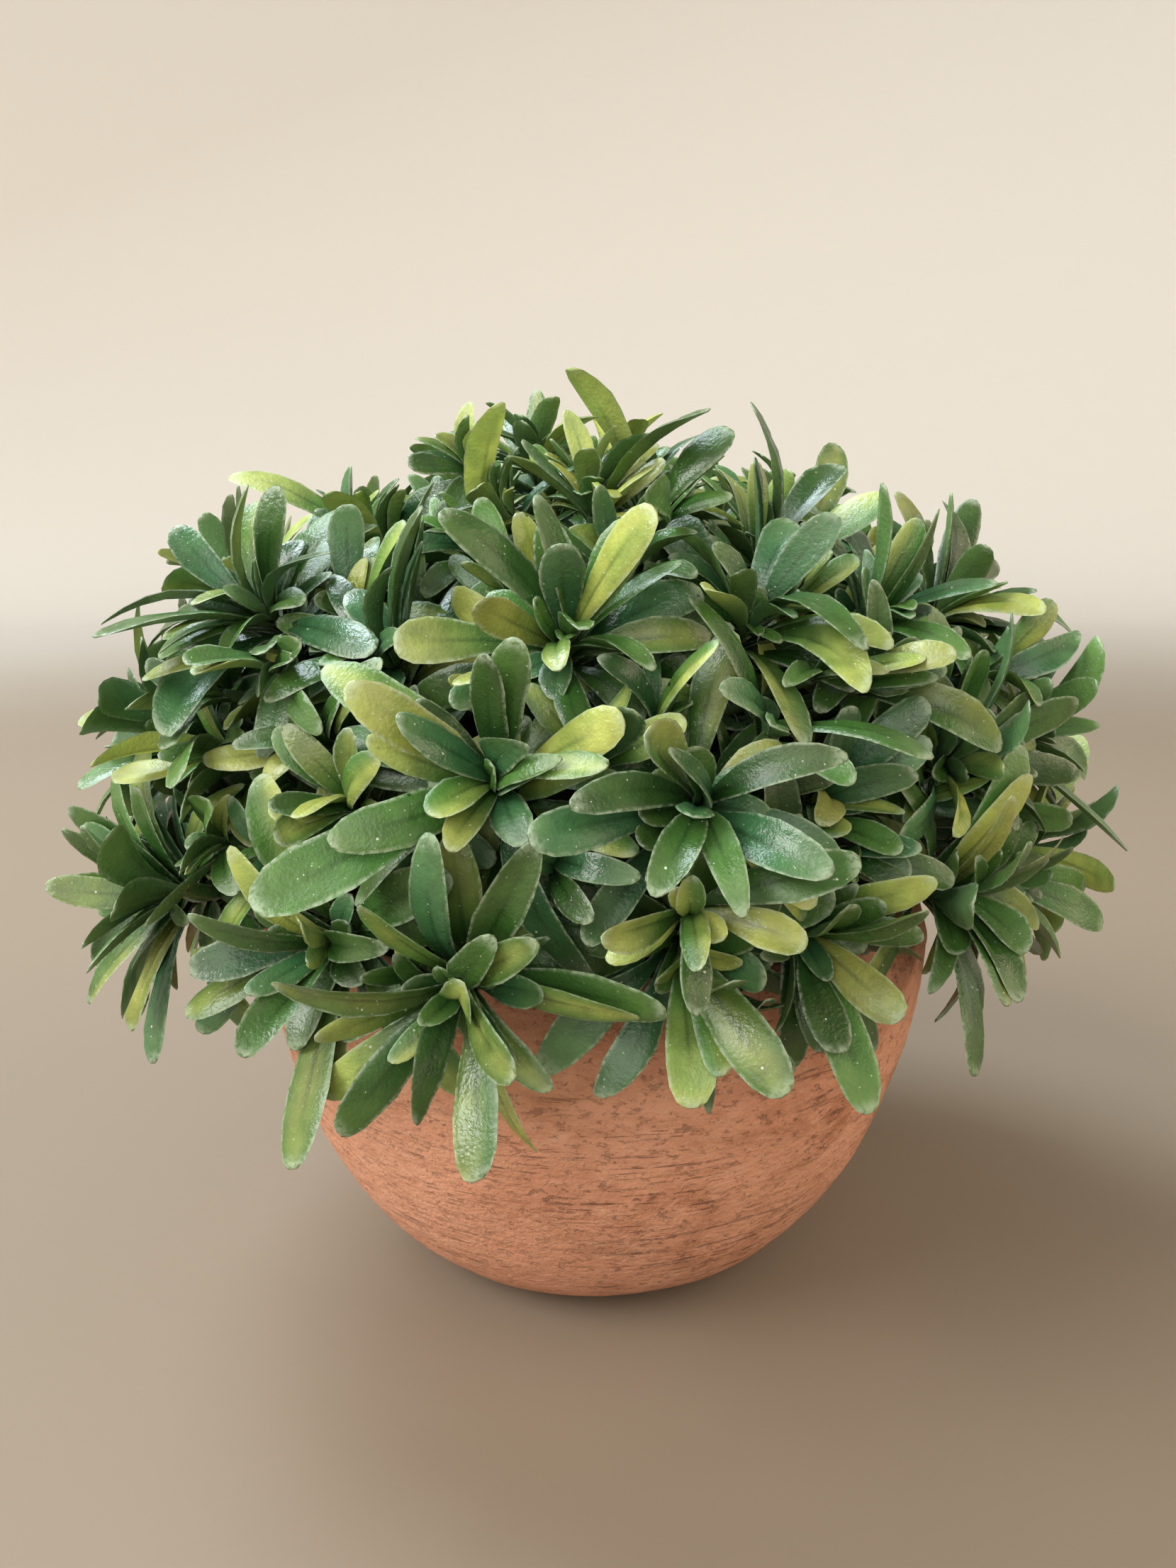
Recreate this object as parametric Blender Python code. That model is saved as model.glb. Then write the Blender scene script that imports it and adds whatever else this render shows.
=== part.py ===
"""A potted box topiary ball of moulded plastic: a terracotta bowl, the foam plug that fills it, a short stem
with a ball head, and a crown of twelve masses of leaves that together make one low, round dome.

Metres, +Z up. The origin is under the middle of the pot's flat foot, and the plant's front faces -Y.
"""

import math
import random

import bmesh
import bpy
from mathutils import Vector
from mathutils.bvhtree import BVHTree

# Pot: a bowl that widens to its belly and turns in a little to a rounded lip.
POT_RADIUS = 0.056
POT_HEIGHT = 0.064
BELLY_HEIGHT = 0.0575
FOOT_RADIUS = 0.021
MOUTH_RADIUS = 0.0548
WALL = 0.0045
FLOOR_HEIGHT = 0.007
SPREAD_POWER = 0.99
RISE_POWER = 1.2
POT_SIDES = 36
WALL_STEPS = 8
LIP_STEPS = 4

# Foam plug in the pot, and the stem that stands on it.
GAP = 0.0003
FOAM_TOP = 0.0585
FOAM_FALL = 0.0016
FOAM_CROWN_RADIUS = 0.016
STEM_SIDES = 12
STEM_RADIUS = 0.0042
FLARE_RADIUS = 0.0085
FLARE_HEIGHT = 0.006
HEAD_RADIUS = 0.007
HEAD_STEPS = 6

# Crown: leaf heads lie on a flattened ball round the stem's head.
CROWN_CENTRE = Vector((0.0, 0.0, 0.0755))
HEADS_RADIUS = 0.064
HEADS_HEIGHT = 0.050
FULLNESS = 0.9
CORE_SHARE = 0.68
CORE_INNER = 0.013
CORE_ABOVE_FOAM = 0.001

# Masses: how many stand round the crown at each elevation, and the turn of the first one, in degrees.
MASS_RINGS = {"skirt": (6, -1.0, -13.0), "shoulder": (5, 44.0, 20.0), "top": (1, 90.0, 0.0)}
# Leaf heads: how many stand in each ring, at which elevation on the flattened ball, and the first one's turn.
HEAD_RINGS = ((18, -4.0, 7.0), (18, 14.0, -10.0), (15, 37.0, -4.0), (10, 59.0, 2.0), (4, 80.0, 30.0))
HEAD_MARGIN = 0.004
HEAD_SHIFT = 0.0030
HEAD_DEPTH = (-0.0050, 0.0020)
HEAD_TILT = 0.16
HEAD_LIFT = 0.1
SEED = 417

# Leaves: each whorl's count, lean from the head's axis in degrees, length, and width over length.
WHORLS = (
    (5, (46.0, 88.0), (0.0190, 0.0270), (0.28, 0.33)),
    (4, (20.0, 54.0), (0.0155, 0.0235), (0.29, 0.36)),
    (2, (12.0, 40.0), (0.0100, 0.0155), (0.36, 0.44)),
)
WHORL_STEP = 0.0011
TOP_FROM = 0.72
TOP_SHRINK = 0.34
LEAF_TRIES = 4
LEAF_THICKNESS = 0.0011
LEAF_ROOT_SHARE = 0.3
WIDEST_AT = 0.64
TIP_AT = 0.95
TIP_WIDTH_SHARE = 0.5
LEAF_BEND = (0.02, 0.2)
LEAF_TWIST = 0.45
TURN_SCATTER = 0.50
POT_CLEARANCE = 0.0008
SHRINK_PER_TRY = 0.06
LIFT_PER_TRY = 5.0
UPRIGHT_LEAN = 18.0

# Markers: the long blades that give the crown its uneven outline. Each has its head's number, where it points
# on a clock face seen from outside, its lean from the head's axis in degrees, and its length.
MARKERS = (
    (0, 4.7, 23.0, 0.0260),
    (0, 6.3, 30.0, 0.0230),
    (1, 4.5, 20.0, 0.0210),
    (1, 5.8, 34.0, 0.0270),
    (2, 6.5, 54.0, 0.0260),
    (2, 7.0, 30.0, 0.0220),
    (3, 4.3, 18.0, 0.0220),
    (3, 3.2, 38.0, 0.0220),
    (15, 4.5, 28.0, 0.0220),
    (15, 5.1, 60.0, 0.0240),
    (16, 5.5, 52.0, 0.0300),
    (17, 2.8, 68.0, 0.0260),
    (17, 5.0, 38.0, 0.0250),
    (17, 7.5, 48.0, 0.0240),
    (18, 0.5, 30.0, 0.0220),
    (18, 7.6, 52.0, 0.0330),
    (22, 6.1, 52.0, 0.0270),
    (22, 9.9, 48.0, 0.0190),
    (36, 2.0, 24.0, 0.0240),
    (38, 10.3, 16.0, 0.0240),
    (39, 4.5, 64.0, 0.0250),
    (49, 5.7, 42.0, 0.0280),
    (51, 4.5, 38.0, 0.0260),
    (52, 9.8, 18.0, 0.0275),
    (53, 2.6, 25.0, 0.0260),
    (59, 3.8, 34.0, 0.0210),
    (59, 7.5, 28.0, 0.0280),
    (60, 3.4, 20.0, 0.0250),
    (61, 9.3, 34.0, 0.0260),
)
MARKER_WIDTH = 0.31
MARKER_BEND = 0.10

# Twigs: three-sided, tapering from the core to the leaf head.
TWIG_ROOT_RADIUS = 0.0022
TWIG_TIP_RADIUS = 0.0018
TWIG_SUNK = 0.004
TWIG_PAST_HEAD = 0.0024
TWIG_SIDES = 3
STALK_RADIUS = 0.0026

# Finishes: colour, roughness.
TERRACOTTA = ((0.52, 0.235, 0.125), 0.88)
DARK_FOAM = ((0.035, 0.028, 0.02), 0.95)
STEM_GREEN = ((0.045, 0.075, 0.03), 0.6)
LEAF_GREENS = (
    ((0.075, 0.18, 0.065), 0.48),
    ((0.10, 0.21, 0.075), 0.5),
    ((0.06, 0.155, 0.075), 0.46),
)


def clear_scene():
    """Removes the objects that the file opened with."""
    for obj in list(bpy.data.objects):
        bpy.data.objects.remove(obj)


def finish_of(name, colour, roughness):
    """A plain material of one colour and roughness."""
    material = bpy.data.materials.new(name)
    material.use_nodes = True
    shader = material.node_tree.nodes["Principled BSDF"]
    shader.inputs["Base Color"].default_value = (*colour, 1.0)
    shader.inputs["Roughness"].default_value = roughness
    shader.inputs["Metallic"].default_value = 0.0
    return material


def make_object(name, points, faces, material=None, collection=None):
    """An object with its place in its mesh."""
    mesh = bpy.data.meshes.new(name)
    mesh.from_pydata([tuple(p) for p in points], [], faces)
    mesh.update()
    obj = bpy.data.objects.new(name, mesh)
    (collection or bpy.context.scene.collection).objects.link(obj)
    if material:
        mesh.materials.append(material)
    return obj


def shade_round(obj, sharp_degrees=50.0):
    """Smooth shading, with edges sharper than the angle kept crisp."""
    obj.data.shade_smooth()
    obj.data.set_sharp_from_angle(angle=math.radians(sharp_degrees))


# ---------------------------------------------------------------- turned pieces


def turned(name, profile, sides, material):
    """A solid of revolution about Z. The profile holds (radius, height), from the foot up the outside and
    down the inside or to the top; its ends lie on the axis."""
    points, rings = [], []
    for radius, height in profile:
        count = 1 if radius < 1e-9 else sides
        rings.append(range(len(points), len(points) + count))
        for step in range(count):
            turn = math.tau * step / sides
            points.append((radius * math.cos(turn), radius * math.sin(turn), height))
    faces = []
    for low, high in zip(rings, rings[1:]):
        for step in range(sides):
            after = (step + 1) % sides
            corners = [low[step % len(low)], low[after % len(low)], high[after % len(high)], high[step % len(high)]]
            faces.append(list(dict.fromkeys(corners)))
    obj = make_object(name, points, faces, material)
    shade_round(obj)
    return obj


def bowl_curve(foot, widest, bottom):
    """The swelling wall from the foot's edge up to the belly, as (radius, height)."""
    curve = []
    for step in range(WALL_STEPS + 1):
        angle = math.pi / 2 * step / WALL_STEPS
        radius = foot + (widest - foot) * math.sin(angle) ** SPREAD_POWER
        rise = 1 - math.cos(angle) ** RISE_POWER if step < WALL_STEPS else 1.0
        curve.append((radius, bottom + (BELLY_HEIGHT - bottom) * rise))
    return curve


def lip_curve():
    """The rounded lip from the outside of the mouth over to its inside."""
    half = WALL / 2
    centre = MOUTH_RADIUS - half
    curve = []
    for step in range(LIP_STEPS + 1):
        angle = math.pi * step / LIP_STEPS
        curve.append((centre + half * math.cos(angle), POT_HEIGHT - half + half * math.sin(angle)))
    return curve


def pot_radius_at(height):
    """The pot's outer radius at a height, on the same curve as its wall."""
    if height < BELLY_HEIGHT:
        share = max(0.0, min(1.0, height / BELLY_HEIGHT))
        angle = math.acos((1 - share) ** (1 / RISE_POWER))
        return FOOT_RADIUS + (POT_RADIUS - FOOT_RADIUS) * math.sin(angle) ** SPREAD_POWER
    share = min(1.0, (height - BELLY_HEIGHT) / (POT_HEIGHT - BELLY_HEIGHT))
    return POT_RADIUS - (POT_RADIUS - MOUTH_RADIUS) * share**2


def build_pot():
    """The terracotta bowl."""
    outside = [(0.0, 0.0)] + bowl_curve(FOOT_RADIUS, POT_RADIUS, 0.0)
    inside = list(reversed(bowl_curve(FOOT_RADIUS, POT_RADIUS - WALL, FLOOR_HEIGHT))) + [(0.0, FLOOR_HEIGHT)]
    return turned("pot", outside + lip_curve() + inside, POT_SIDES, finish_of("terracotta", *TERRACOTTA))


def build_foam():
    """The plug that fills the pot to just under its lip."""
    wall = bowl_curve(FOOT_RADIUS - GAP, POT_RADIUS - WALL - 2 * GAP, FLOOR_HEIGHT + GAP)
    edge = wall.pop()
    top = [(edge[0], FOAM_TOP - FOAM_FALL), (FOAM_CROWN_RADIUS, FOAM_TOP), (0.0, FOAM_TOP)]
    profile = [(0.0, FLOOR_HEIGHT + GAP)] + wall + top
    return turned("foam_plug", profile, POT_SIDES, finish_of("dark_foam", *DARK_FOAM))


def build_stem():
    """The short stem, from its flat, flared foot on the foam to its ball head."""
    foot = FOAM_TOP + GAP
    profile = [(0.0, foot), (FLARE_RADIUS, foot)]
    for share in (0.25, 0.6, 1.0):
        radius = STEM_RADIUS + (FLARE_RADIUS - STEM_RADIUS) * (1 - share) ** 2
        profile.append((radius, foot + FLARE_HEIGHT * share))
    first = -math.acos(STEM_RADIUS / HEAD_RADIUS)
    for step in range(HEAD_STEPS + 1):
        angle = first + (math.pi / 2 - first) * step / HEAD_STEPS
        radius = HEAD_RADIUS * math.cos(angle) if step < HEAD_STEPS else 0.0
        profile.append((radius, CROWN_CENTRE.z + HEAD_RADIUS * math.sin(angle)))
    return turned("stem", profile, STEM_SIDES, finish_of("stem_green", *STEM_GREEN))


# ---------------------------------------------------------------- the crown's spaces


def direction(elevation, turn):
    """A unit vector at an elevation and a turn about Z from the front, in degrees."""
    e, t = math.radians(elevation), math.radians(turn)
    return Vector((math.cos(e) * math.sin(t), -math.cos(e) * math.cos(t), math.sin(e)))


def mass_directions():
    """Each mass's name and the direction from the crown's centre to its middle."""
    found = {}
    for ring, (count, elevation, first) in MASS_RINGS.items():
        for index in range(count):
            name = f"foliage_{ring}" if count == 1 else f"foliage_{ring}_{index + 1}"
            found[name] = direction(elevation, first + 360 * index / count)
    return found


def borders_of(name, masses):
    """The unit normals, pointing into the mass, of the planes halfway to each other mass."""
    own = masses[name]
    return [(own - other).normalized() for key, other in masses.items() if key != name]


def on_crown(elevation, turn, share=1.0):
    """A point on the flattened ball that the leaf heads lie on, or on a smaller one inside it."""
    way = direction(0.0, turn)
    e = math.radians(elevation)
    out = HEADS_RADIUS * math.cos(e) ** FULLNESS
    up = HEADS_HEIGHT * math.copysign(abs(math.sin(e)) ** FULLNESS, e)
    return CROWN_CENTRE + share * Vector((way.x * out, way.y * out, up))


def crown_normal(point):
    """The outward normal of the flattened ball through a point."""
    away = point - CROWN_CENTRE
    return Vector((away.x / HEADS_RADIUS**2, away.y / HEADS_RADIUS**2, away.z / HEADS_HEIGHT**2)).normalized()


def leaf_heads(masses):
    """Every leaf head as (mass name, centre, axis), kept a little inside its mass's borders."""
    heads = []
    rng = random.Random(SEED)
    for count, elevation, first in HEAD_RINGS:
        for index in range(count):
            centre = on_crown(elevation, first + 360 * index / count)
            centre += Vector([rng.uniform(-HEAD_SHIFT, HEAD_SHIFT) for _ in range(3)])
            centre += crown_normal(centre) * rng.uniform(*HEAD_DEPTH)
            name = max(masses, key=lambda key: masses[key].dot(centre - CROWN_CENTRE))
            for normal in borders_of(name, masses):
                short = HEAD_MARGIN - normal.dot(centre - CROWN_CENTRE)
                centre += normal * max(0.0, short)
            tilt = Vector([rng.uniform(-HEAD_TILT, HEAD_TILT) for _ in range(3)])
            axis = (crown_normal(centre) + tilt + Vector((0, 0, HEAD_LIFT))).normalized()
            heads.append((name, centre, axis))
    return heads


# ---------------------------------------------------------------- leaves


class Leaf:
    """One obovate blade: a root, the way it grows, its upper side's normal, and its sizes."""

    def __init__(self, root, way, upper, length, width, bend):
        self.root, self.way, self.upper = root, way, upper
        self.side = way.cross(upper)
        self.length, self.width, self.bend = length, width, bend

    def point(self, along, across, height=0.0):
        """A point at shares of the length and half width, the blade curving to its lower side."""
        drop = self.bend * self.length * along**2
        half = self.width / 2
        return (
            self.root
            + self.way * (self.length * along)
            + self.side * (half * across)
            + self.upper * (height - drop)
        )

    def outline(self, start=0.0):
        """The blade's corners, from its root, or from a blunt start further along, round to the tip and back."""
        tip = TIP_WIDTH_SHARE
        corners = [(WIDEST_AT, 1.0), (TIP_AT, tip), (TIP_AT, -tip), (WIDEST_AT, -1.0)]
        if start:
            share = start / WIDEST_AT
            corners = [(start, share), *corners, (start, -share)]
        else:
            corners = [(0.0, 0.0), *corners]
        return [self.point(along, across) for along, across in corners]

    def solid(self):
        """The blade as a closed solid of eight faces: five slopes above, and three underneath."""
        rim = self.outline()
        top = self.point(WIDEST_AT, 0.0, LEAF_THICKNESS)
        count = len(rim)
        faces = [(count, i, (i + 1) % count) for i in range(count)]
        faces += [(0, 4, 1), (1, 4, 3), (1, 3, 2)]
        return [*rim, top], faces

    def tree(self):
        """A search tree of the blade past its root, which finds the leaves that it would cut through."""
        rim = self.outline(start=LEAF_ROOT_SHARE)
        return BVHTree.FromPolygons([tuple(p) for p in rim], [(0, 1, 4, 5), (1, 2, 3, 4)])

    def edge_samples(self):
        """Points along the blade's rim."""
        rim = self.outline()
        shares = (0.0, 0.25, 0.5, 0.75)
        return [a.lerp(b, share) for a, b in zip(rim, rim[1:] + rim[:1]) for share in shares]


def clears_pot(leaf):
    """Whether the blade stays outside the pot's wall and above its lip and the foam."""
    for point in leaf.edge_samples():
        outside = math.hypot(point.x, point.y) > pot_radius_at(point.z) + POT_CLEARANCE
        if point.z < POT_HEIGHT + POT_CLEARANCE and not outside:
            return False
    return True


def inside_space(leaf, normals):
    """Whether the blade keeps to its mass's side of every border."""
    room = GAP / 2 + LEAF_THICKNESS / 2
    return all(n.dot(point - CROWN_CENTRE) > room for n in normals for point in leaf.outline())


def top_share(axis):
    """How long a head's leaves are, as a share: they are shorter the more the head faces up."""
    return 1 - TOP_SHRINK * max(0.0, axis.z - TOP_FROM) / (1 - TOP_FROM)


def grow_leaf(rng, head, whorl, turn, attempt):
    """One blade of a whorl. Later attempts stand nearer the head's axis and are shorter."""
    _, centre, axis = head
    _, lean_range, length_range, width_range = WHORLS[whorl]
    lift = LIFT_PER_TRY * attempt * (lean_range[0] > UPRIGHT_LEAN)
    lean = math.radians(rng.uniform(*lean_range) - lift)
    length = rng.uniform(*length_range) * (1 - SHRINK_PER_TRY * attempt) * top_share(axis)
    flat = axis.orthogonal().normalized()
    across = flat * math.cos(turn) + axis.cross(flat) * math.sin(turn)
    way = (axis * math.cos(lean) + across * math.sin(lean)).normalized()
    upper = (axis - way * axis.dot(way)).normalized()
    if upper.length < 0.5:
        upper = way.orthogonal().normalized()
    twist = rng.uniform(-LEAF_TWIST, LEAF_TWIST)
    upper = (upper * math.cos(twist) + way.cross(upper) * math.sin(twist)).normalized()
    root = centre + axis * (WHORL_STEP * (whorl - 1))
    return Leaf(root, way, upper, length, length * rng.uniform(*width_range), rng.uniform(*LEAF_BEND))


def marked_leaf(head, clock, lean_degrees, length):
    """The blade that a marker gives on its head."""
    _, centre, axis = head
    high = (Vector((0, 0, 1)) - axis * axis.z).normalized()
    hour, lean = math.radians(30 * clock), math.radians(lean_degrees)
    across = high * math.cos(hour) + high.cross(axis) * math.sin(hour)
    way = (axis * math.cos(lean) + across * math.sin(lean)).normalized()
    upper = (axis - way * axis.dot(way)).normalized()
    return Leaf(centre.copy(), way, upper, length, length * MARKER_WIDTH, MARKER_BEND)


def grow_leaves(heads, masses):
    """The blades of every head, by mass, with the markers first. A blade of a whorl that leaves its mass's
    space, meets the pot or cuts through a blade already there is tried again further in, and at last left out."""
    grown = {name: [] for name in masses}
    trees = {name: [] for name in masses}
    borders = {name: borders_of(name, masses) for name in masses}

    def keep(leaf, name):
        """Adds the blade to its mass where it fits, and says whether it did."""
        if not (inside_space(leaf, borders[name]) and clears_pot(leaf)):
            return False
        tree = leaf.tree()
        if any(tree.overlap(other) for other in trees[name]):
            return False
        grown[name].append(leaf)
        trees[name].append(tree)
        return True

    for number, *marker in MARKERS:
        keep(marked_leaf(heads[number], *marker), heads[number][0])
    for number, head in enumerate(heads):
        rng = random.Random(SEED * 1000 + number)
        first = rng.uniform(0, math.tau)
        for whorl, (count, *_) in enumerate(WHORLS):
            for index in range(count):
                for attempt in range(LEAF_TRIES):
                    scatter = rng.uniform(-TURN_SCATTER, TURN_SCATTER) * (1 + attempt)
                    turn = first + math.tau * (index + 0.5 * whorl) / count + scatter
                    if keep(grow_leaf(rng, head, whorl, turn, attempt), head[0]):
                        break
    return grown


# ---------------------------------------------------------------- cores, twigs and whole masses


def taper(start, end, radius, end_radius, sides=TWIG_SIDES):
    """A straight tapering limb with flat ends, as (points, faces)."""
    way = (end - start).normalized()
    flat = way.orthogonal().normalized()
    round_it = way.cross(flat)
    points = []
    for middle, size in ((start, radius), (end, end_radius)):
        for step in range(sides):
            turn = math.tau * step / sides
            points.append(middle + size * (flat * math.cos(turn) + round_it * math.sin(turn)))
    faces = [(i, (i + 1) % sides, sides + (i + 1) % sides, sides + i) for i in range(sides)]
    faces += [tuple(reversed(range(sides))), tuple(range(sides, 2 * sides))]
    return points, faces


def core_object(name, masses, material):
    """The mass's dark inner body: the flattened ball, smaller, cut to the mass's own space."""
    own = masses[name]
    form = bmesh.new()
    bmesh.ops.create_icosphere(form, subdivisions=2, radius=1.0)
    size = CORE_SHARE * Vector((HEADS_RADIUS, HEADS_RADIUS, HEADS_HEIGHT))
    bmesh.ops.scale(form, vec=size, verts=form.verts)
    bmesh.ops.translate(form, vec=CROWN_CENTRE, verts=form.verts)
    cuts = [(CROWN_CENTRE + n * GAP, n) for n in borders_of(name, masses)]
    cuts.append((CROWN_CENTRE + own * CORE_INNER, own))
    cuts.append((Vector((0, 0, FOAM_TOP + CORE_ABOVE_FOAM)), Vector((0, 0, 1))))
    for place, normal in cuts:
        geometry = form.verts[:] + form.edges[:] + form.faces[:]
        cut = bmesh.ops.bisect_plane(
            form, geom=geometry, dist=1e-7, plane_co=place, plane_no=normal, clear_inner=True
        )
        rim = [item for item in cut["geom_cut"] if isinstance(item, bmesh.types.BMEdge)]
        if rim:
            bmesh.ops.holes_fill(form, edges=rim)
    bmesh.ops.recalc_face_normals(form, faces=form.faces)
    mesh = bpy.data.meshes.new(name)
    form.to_mesh(mesh)
    form.free()
    mesh.materials.append(material)
    obj = bpy.data.objects.new(name, mesh)
    bpy.context.scene.collection.objects.link(obj)
    return obj


def keep_one_body(mesh):
    """Fills sealed hollows and drops loose scraps: only the shell with the greatest volume is kept."""
    form = bmesh.new()
    form.from_mesh(mesh)
    form.faces.ensure_lookup_table()
    left, shells = set(form.faces), []
    while left:
        shell, edge = set(), [left.pop()]
        while edge:
            face = edge.pop()
            shell.add(face)
            for near in (other for line in face.edges for other in line.link_faces):
                if near in left:
                    left.discard(near)
                    edge.append(near)
        shells.append(shell)
    if len(shells) > 1:
        volumes = []
        for shell in shells:
            total = 0.0
            for face in shell:
                corners = [v.co for v in face.verts]
                for a, b in zip(corners[1:], corners[2:]):
                    total += corners[0].dot(a.cross(b)) / 6
            volumes.append(total)
        kept = shells[volumes.index(max(volumes))]
        bmesh.ops.delete(form, geom=[f for f in form.faces if f not in kept], context="FACES")
        form.to_mesh(mesh)
    form.free()


def fuse(obj, parts):
    """Joins a collection's solids to the object with one Boolean union, and removes them."""
    union = obj.modifiers.new("fuse", "BOOLEAN")
    union.operation = "UNION"
    union.operand_type = "COLLECTION"
    union.collection = parts
    union.solver = "MANIFOLD"
    bpy.context.view_layer.update()
    graph = bpy.context.evaluated_depsgraph_get()
    fused = bpy.data.meshes.new_from_object(obj.evaluated_get(graph))
    obj.modifiers.remove(union)
    keep_one_body(fused)
    obj.data = fused
    for part in list(parts.objects):
        bpy.data.objects.remove(part)
    bpy.data.collections.remove(parts)


def build_mass(name, masses, heads, leaves, material):
    """One mass of foliage: its core on a stalk from the stem's head, a twig to each leaf head, and the blades."""
    obj = core_object(name, masses, material)
    parts = bpy.data.collections.new(name + "_parts")
    bpy.context.scene.collection.children.link(parts)
    own = masses[name]
    stalk_end = CROWN_CENTRE + own * (CORE_INNER + TWIG_SUNK)
    stalk = taper(CROWN_CENTRE + own * (HEAD_RADIUS + GAP), stalk_end, STALK_RADIUS, STALK_RADIUS)
    make_object(name + "_stalk", *stalk, collection=parts)
    for number, (owner, centre, axis) in enumerate(heads):
        if owner != name:
            continue
        root = CROWN_CENTRE + (centre - CROWN_CENTRE) * CORE_SHARE
        root -= (centre - root).normalized() * TWIG_SUNK
        twig = taper(root, centre + axis * TWIG_PAST_HEAD, TWIG_ROOT_RADIUS, TWIG_TIP_RADIUS)
        make_object(f"{name}_twig_{number}", *twig, collection=parts)
    for number, leaf in enumerate(leaves):
        make_object(f"{name}_leaf_{number}", *leaf.solid(), collection=parts)
    fuse(obj, parts)
    return obj


def main():
    """Builds the whole plant."""
    clear_scene()
    build_pot()
    build_foam()
    build_stem()
    masses = mass_directions()
    heads = leaf_heads(masses)
    grown = grow_leaves(heads, masses)
    greens = [finish_of(f"leaf_green_{i + 1}", *finish) for i, finish in enumerate(LEAF_GREENS)]
    for index, name in enumerate(masses):
        build_mass(name, masses, heads, grown[name], greens[index % len(greens)])


main()
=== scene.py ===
"""The looks of a potted box topiary ball of moulded plastic.

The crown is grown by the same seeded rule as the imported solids: leaf heads on a flattened ball, whorls of
spoon-shaped blades on each, and a twig from the stem to every head. Here each head also gets its small inner
leaves, its lower leaves, blades that reach into the next mass, and small side shoots. The pot is turned
again with its tool marks, and everything is dressed in procedural finishes.

Metres, +Z up, the front faces -Y.
"""

import logging
import math
import random
from dataclasses import dataclass, field, replace
from enum import Enum
from functools import reduce

import bmesh
import bpy
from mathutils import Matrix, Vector, noise
from mathutils.bvhtree import BVHTree


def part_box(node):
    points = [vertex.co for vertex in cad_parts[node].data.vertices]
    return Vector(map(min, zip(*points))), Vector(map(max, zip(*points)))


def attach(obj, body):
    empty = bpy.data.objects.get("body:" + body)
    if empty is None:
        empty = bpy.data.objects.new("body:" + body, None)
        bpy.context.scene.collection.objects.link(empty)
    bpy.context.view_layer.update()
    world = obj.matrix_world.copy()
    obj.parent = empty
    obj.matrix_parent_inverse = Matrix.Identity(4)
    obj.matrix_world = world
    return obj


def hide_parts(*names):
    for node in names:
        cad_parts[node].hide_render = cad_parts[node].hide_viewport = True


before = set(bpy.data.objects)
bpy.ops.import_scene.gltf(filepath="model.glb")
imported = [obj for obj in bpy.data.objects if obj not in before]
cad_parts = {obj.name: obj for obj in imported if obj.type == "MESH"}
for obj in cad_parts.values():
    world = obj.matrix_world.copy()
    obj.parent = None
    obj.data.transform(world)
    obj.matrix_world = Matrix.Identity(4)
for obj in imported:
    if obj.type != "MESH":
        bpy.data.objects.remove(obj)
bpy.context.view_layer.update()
LOG = logging.getLogger("topiary")
BODY = "root"
SEED = 417
GAP = 0.0003

Socket = bpy.types.NodeSocket
Feed = Socket | float | int | tuple | str
Colour = tuple[float, float, float, float]
Head = tuple[str, Vector, Vector]


# ---------------------------------------------------------------- node sheets


@dataclass(frozen=True)
class Step:
    """A smooth step of a value, from one range to another."""

    low: float
    high: float
    to_low: float = 0.0
    to_high: float = 1.0


@dataclass(frozen=True)
class Cloud:
    """Soft noise: cells per metre, octaves, how far each axis is squeezed, and its roughness."""

    scale: float
    detail: float = 2.0
    squeeze: tuple[float, float, float] = (1.0, 1.0, 1.0)
    rough: float = 0.55


@dataclass(frozen=True)
class Patches:
    """Soft patches: noise cut by a smooth step."""

    cloud: Cloud
    step: Step


class Sheet:
    """A node tree with short calls for its usual steps."""

    def __init__(self, tree: bpy.types.NodeTree) -> None:
        """Takes up a tree.

        Args:
            tree: the tree that the nodes are added to.
        """
        self.tree = tree

    def add(
        self, kind: str, feeds: dict[str | int, Feed] | None = None, **settings: object
    ) -> bpy.types.Node:
        """Adds a node.

        Args:
            kind: the node's type.
            feeds: what goes into its inputs, by name or number: a socket to link, or a plain value.
            settings: the node's own settings.

        Returns:
            The node.
        """
        node = self.tree.nodes.new(kind)
        for key, value in settings.items():
            setattr(node, key, value)
        for key, value in (feeds or {}).items():
            self.feed(node.inputs[key], value)
        return node

    def feed(self, socket: Socket, value: Feed) -> None:
        """Links a socket to an input, or sets the input's plain value.

        Args:
            socket: the input.
            value: a socket to link, or a plain value.
        """
        if isinstance(value, Socket):
            self.tree.links.new(value, socket)
        else:
            socket.default_value = value

    def math(self, operation: str, *values: Feed) -> Socket:
        """A number worked out from one, two or three others."""
        node = self.add("ShaderNodeMath", dict(enumerate(values)), operation=operation)
        return node.outputs[0]

    def product(self, *values: Feed) -> Socket:
        """Two or more numbers multiplied together."""
        return reduce(lambda a, b: self.math("MULTIPLY", a, b), values)

    def vector(self, operation: str, a: Feed, b: Feed) -> Socket:
        """A vector worked out from two vectors, or from a vector and a number for SCALE."""
        second = "Scale" if operation == "SCALE" else 1
        return self.add("ShaderNodeVectorMath", {0: a, second: b}, operation=operation).outputs[0]

    def step(self, value: Feed, step: Step) -> Socket:
        """A value put through a smooth step.

        Args:
            value: the value.
            step: the range it comes from, and the range it goes to.

        Returns:
            The new value.
        """
        source = {"Value": value, "From Min": step.low, "From Max": step.high}
        feeds = {**source, "To Min": step.to_low, "To Max": step.to_high}
        return self.add("ShaderNodeMapRange", feeds, interpolation_type="SMOOTHSTEP").outputs[0]


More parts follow.
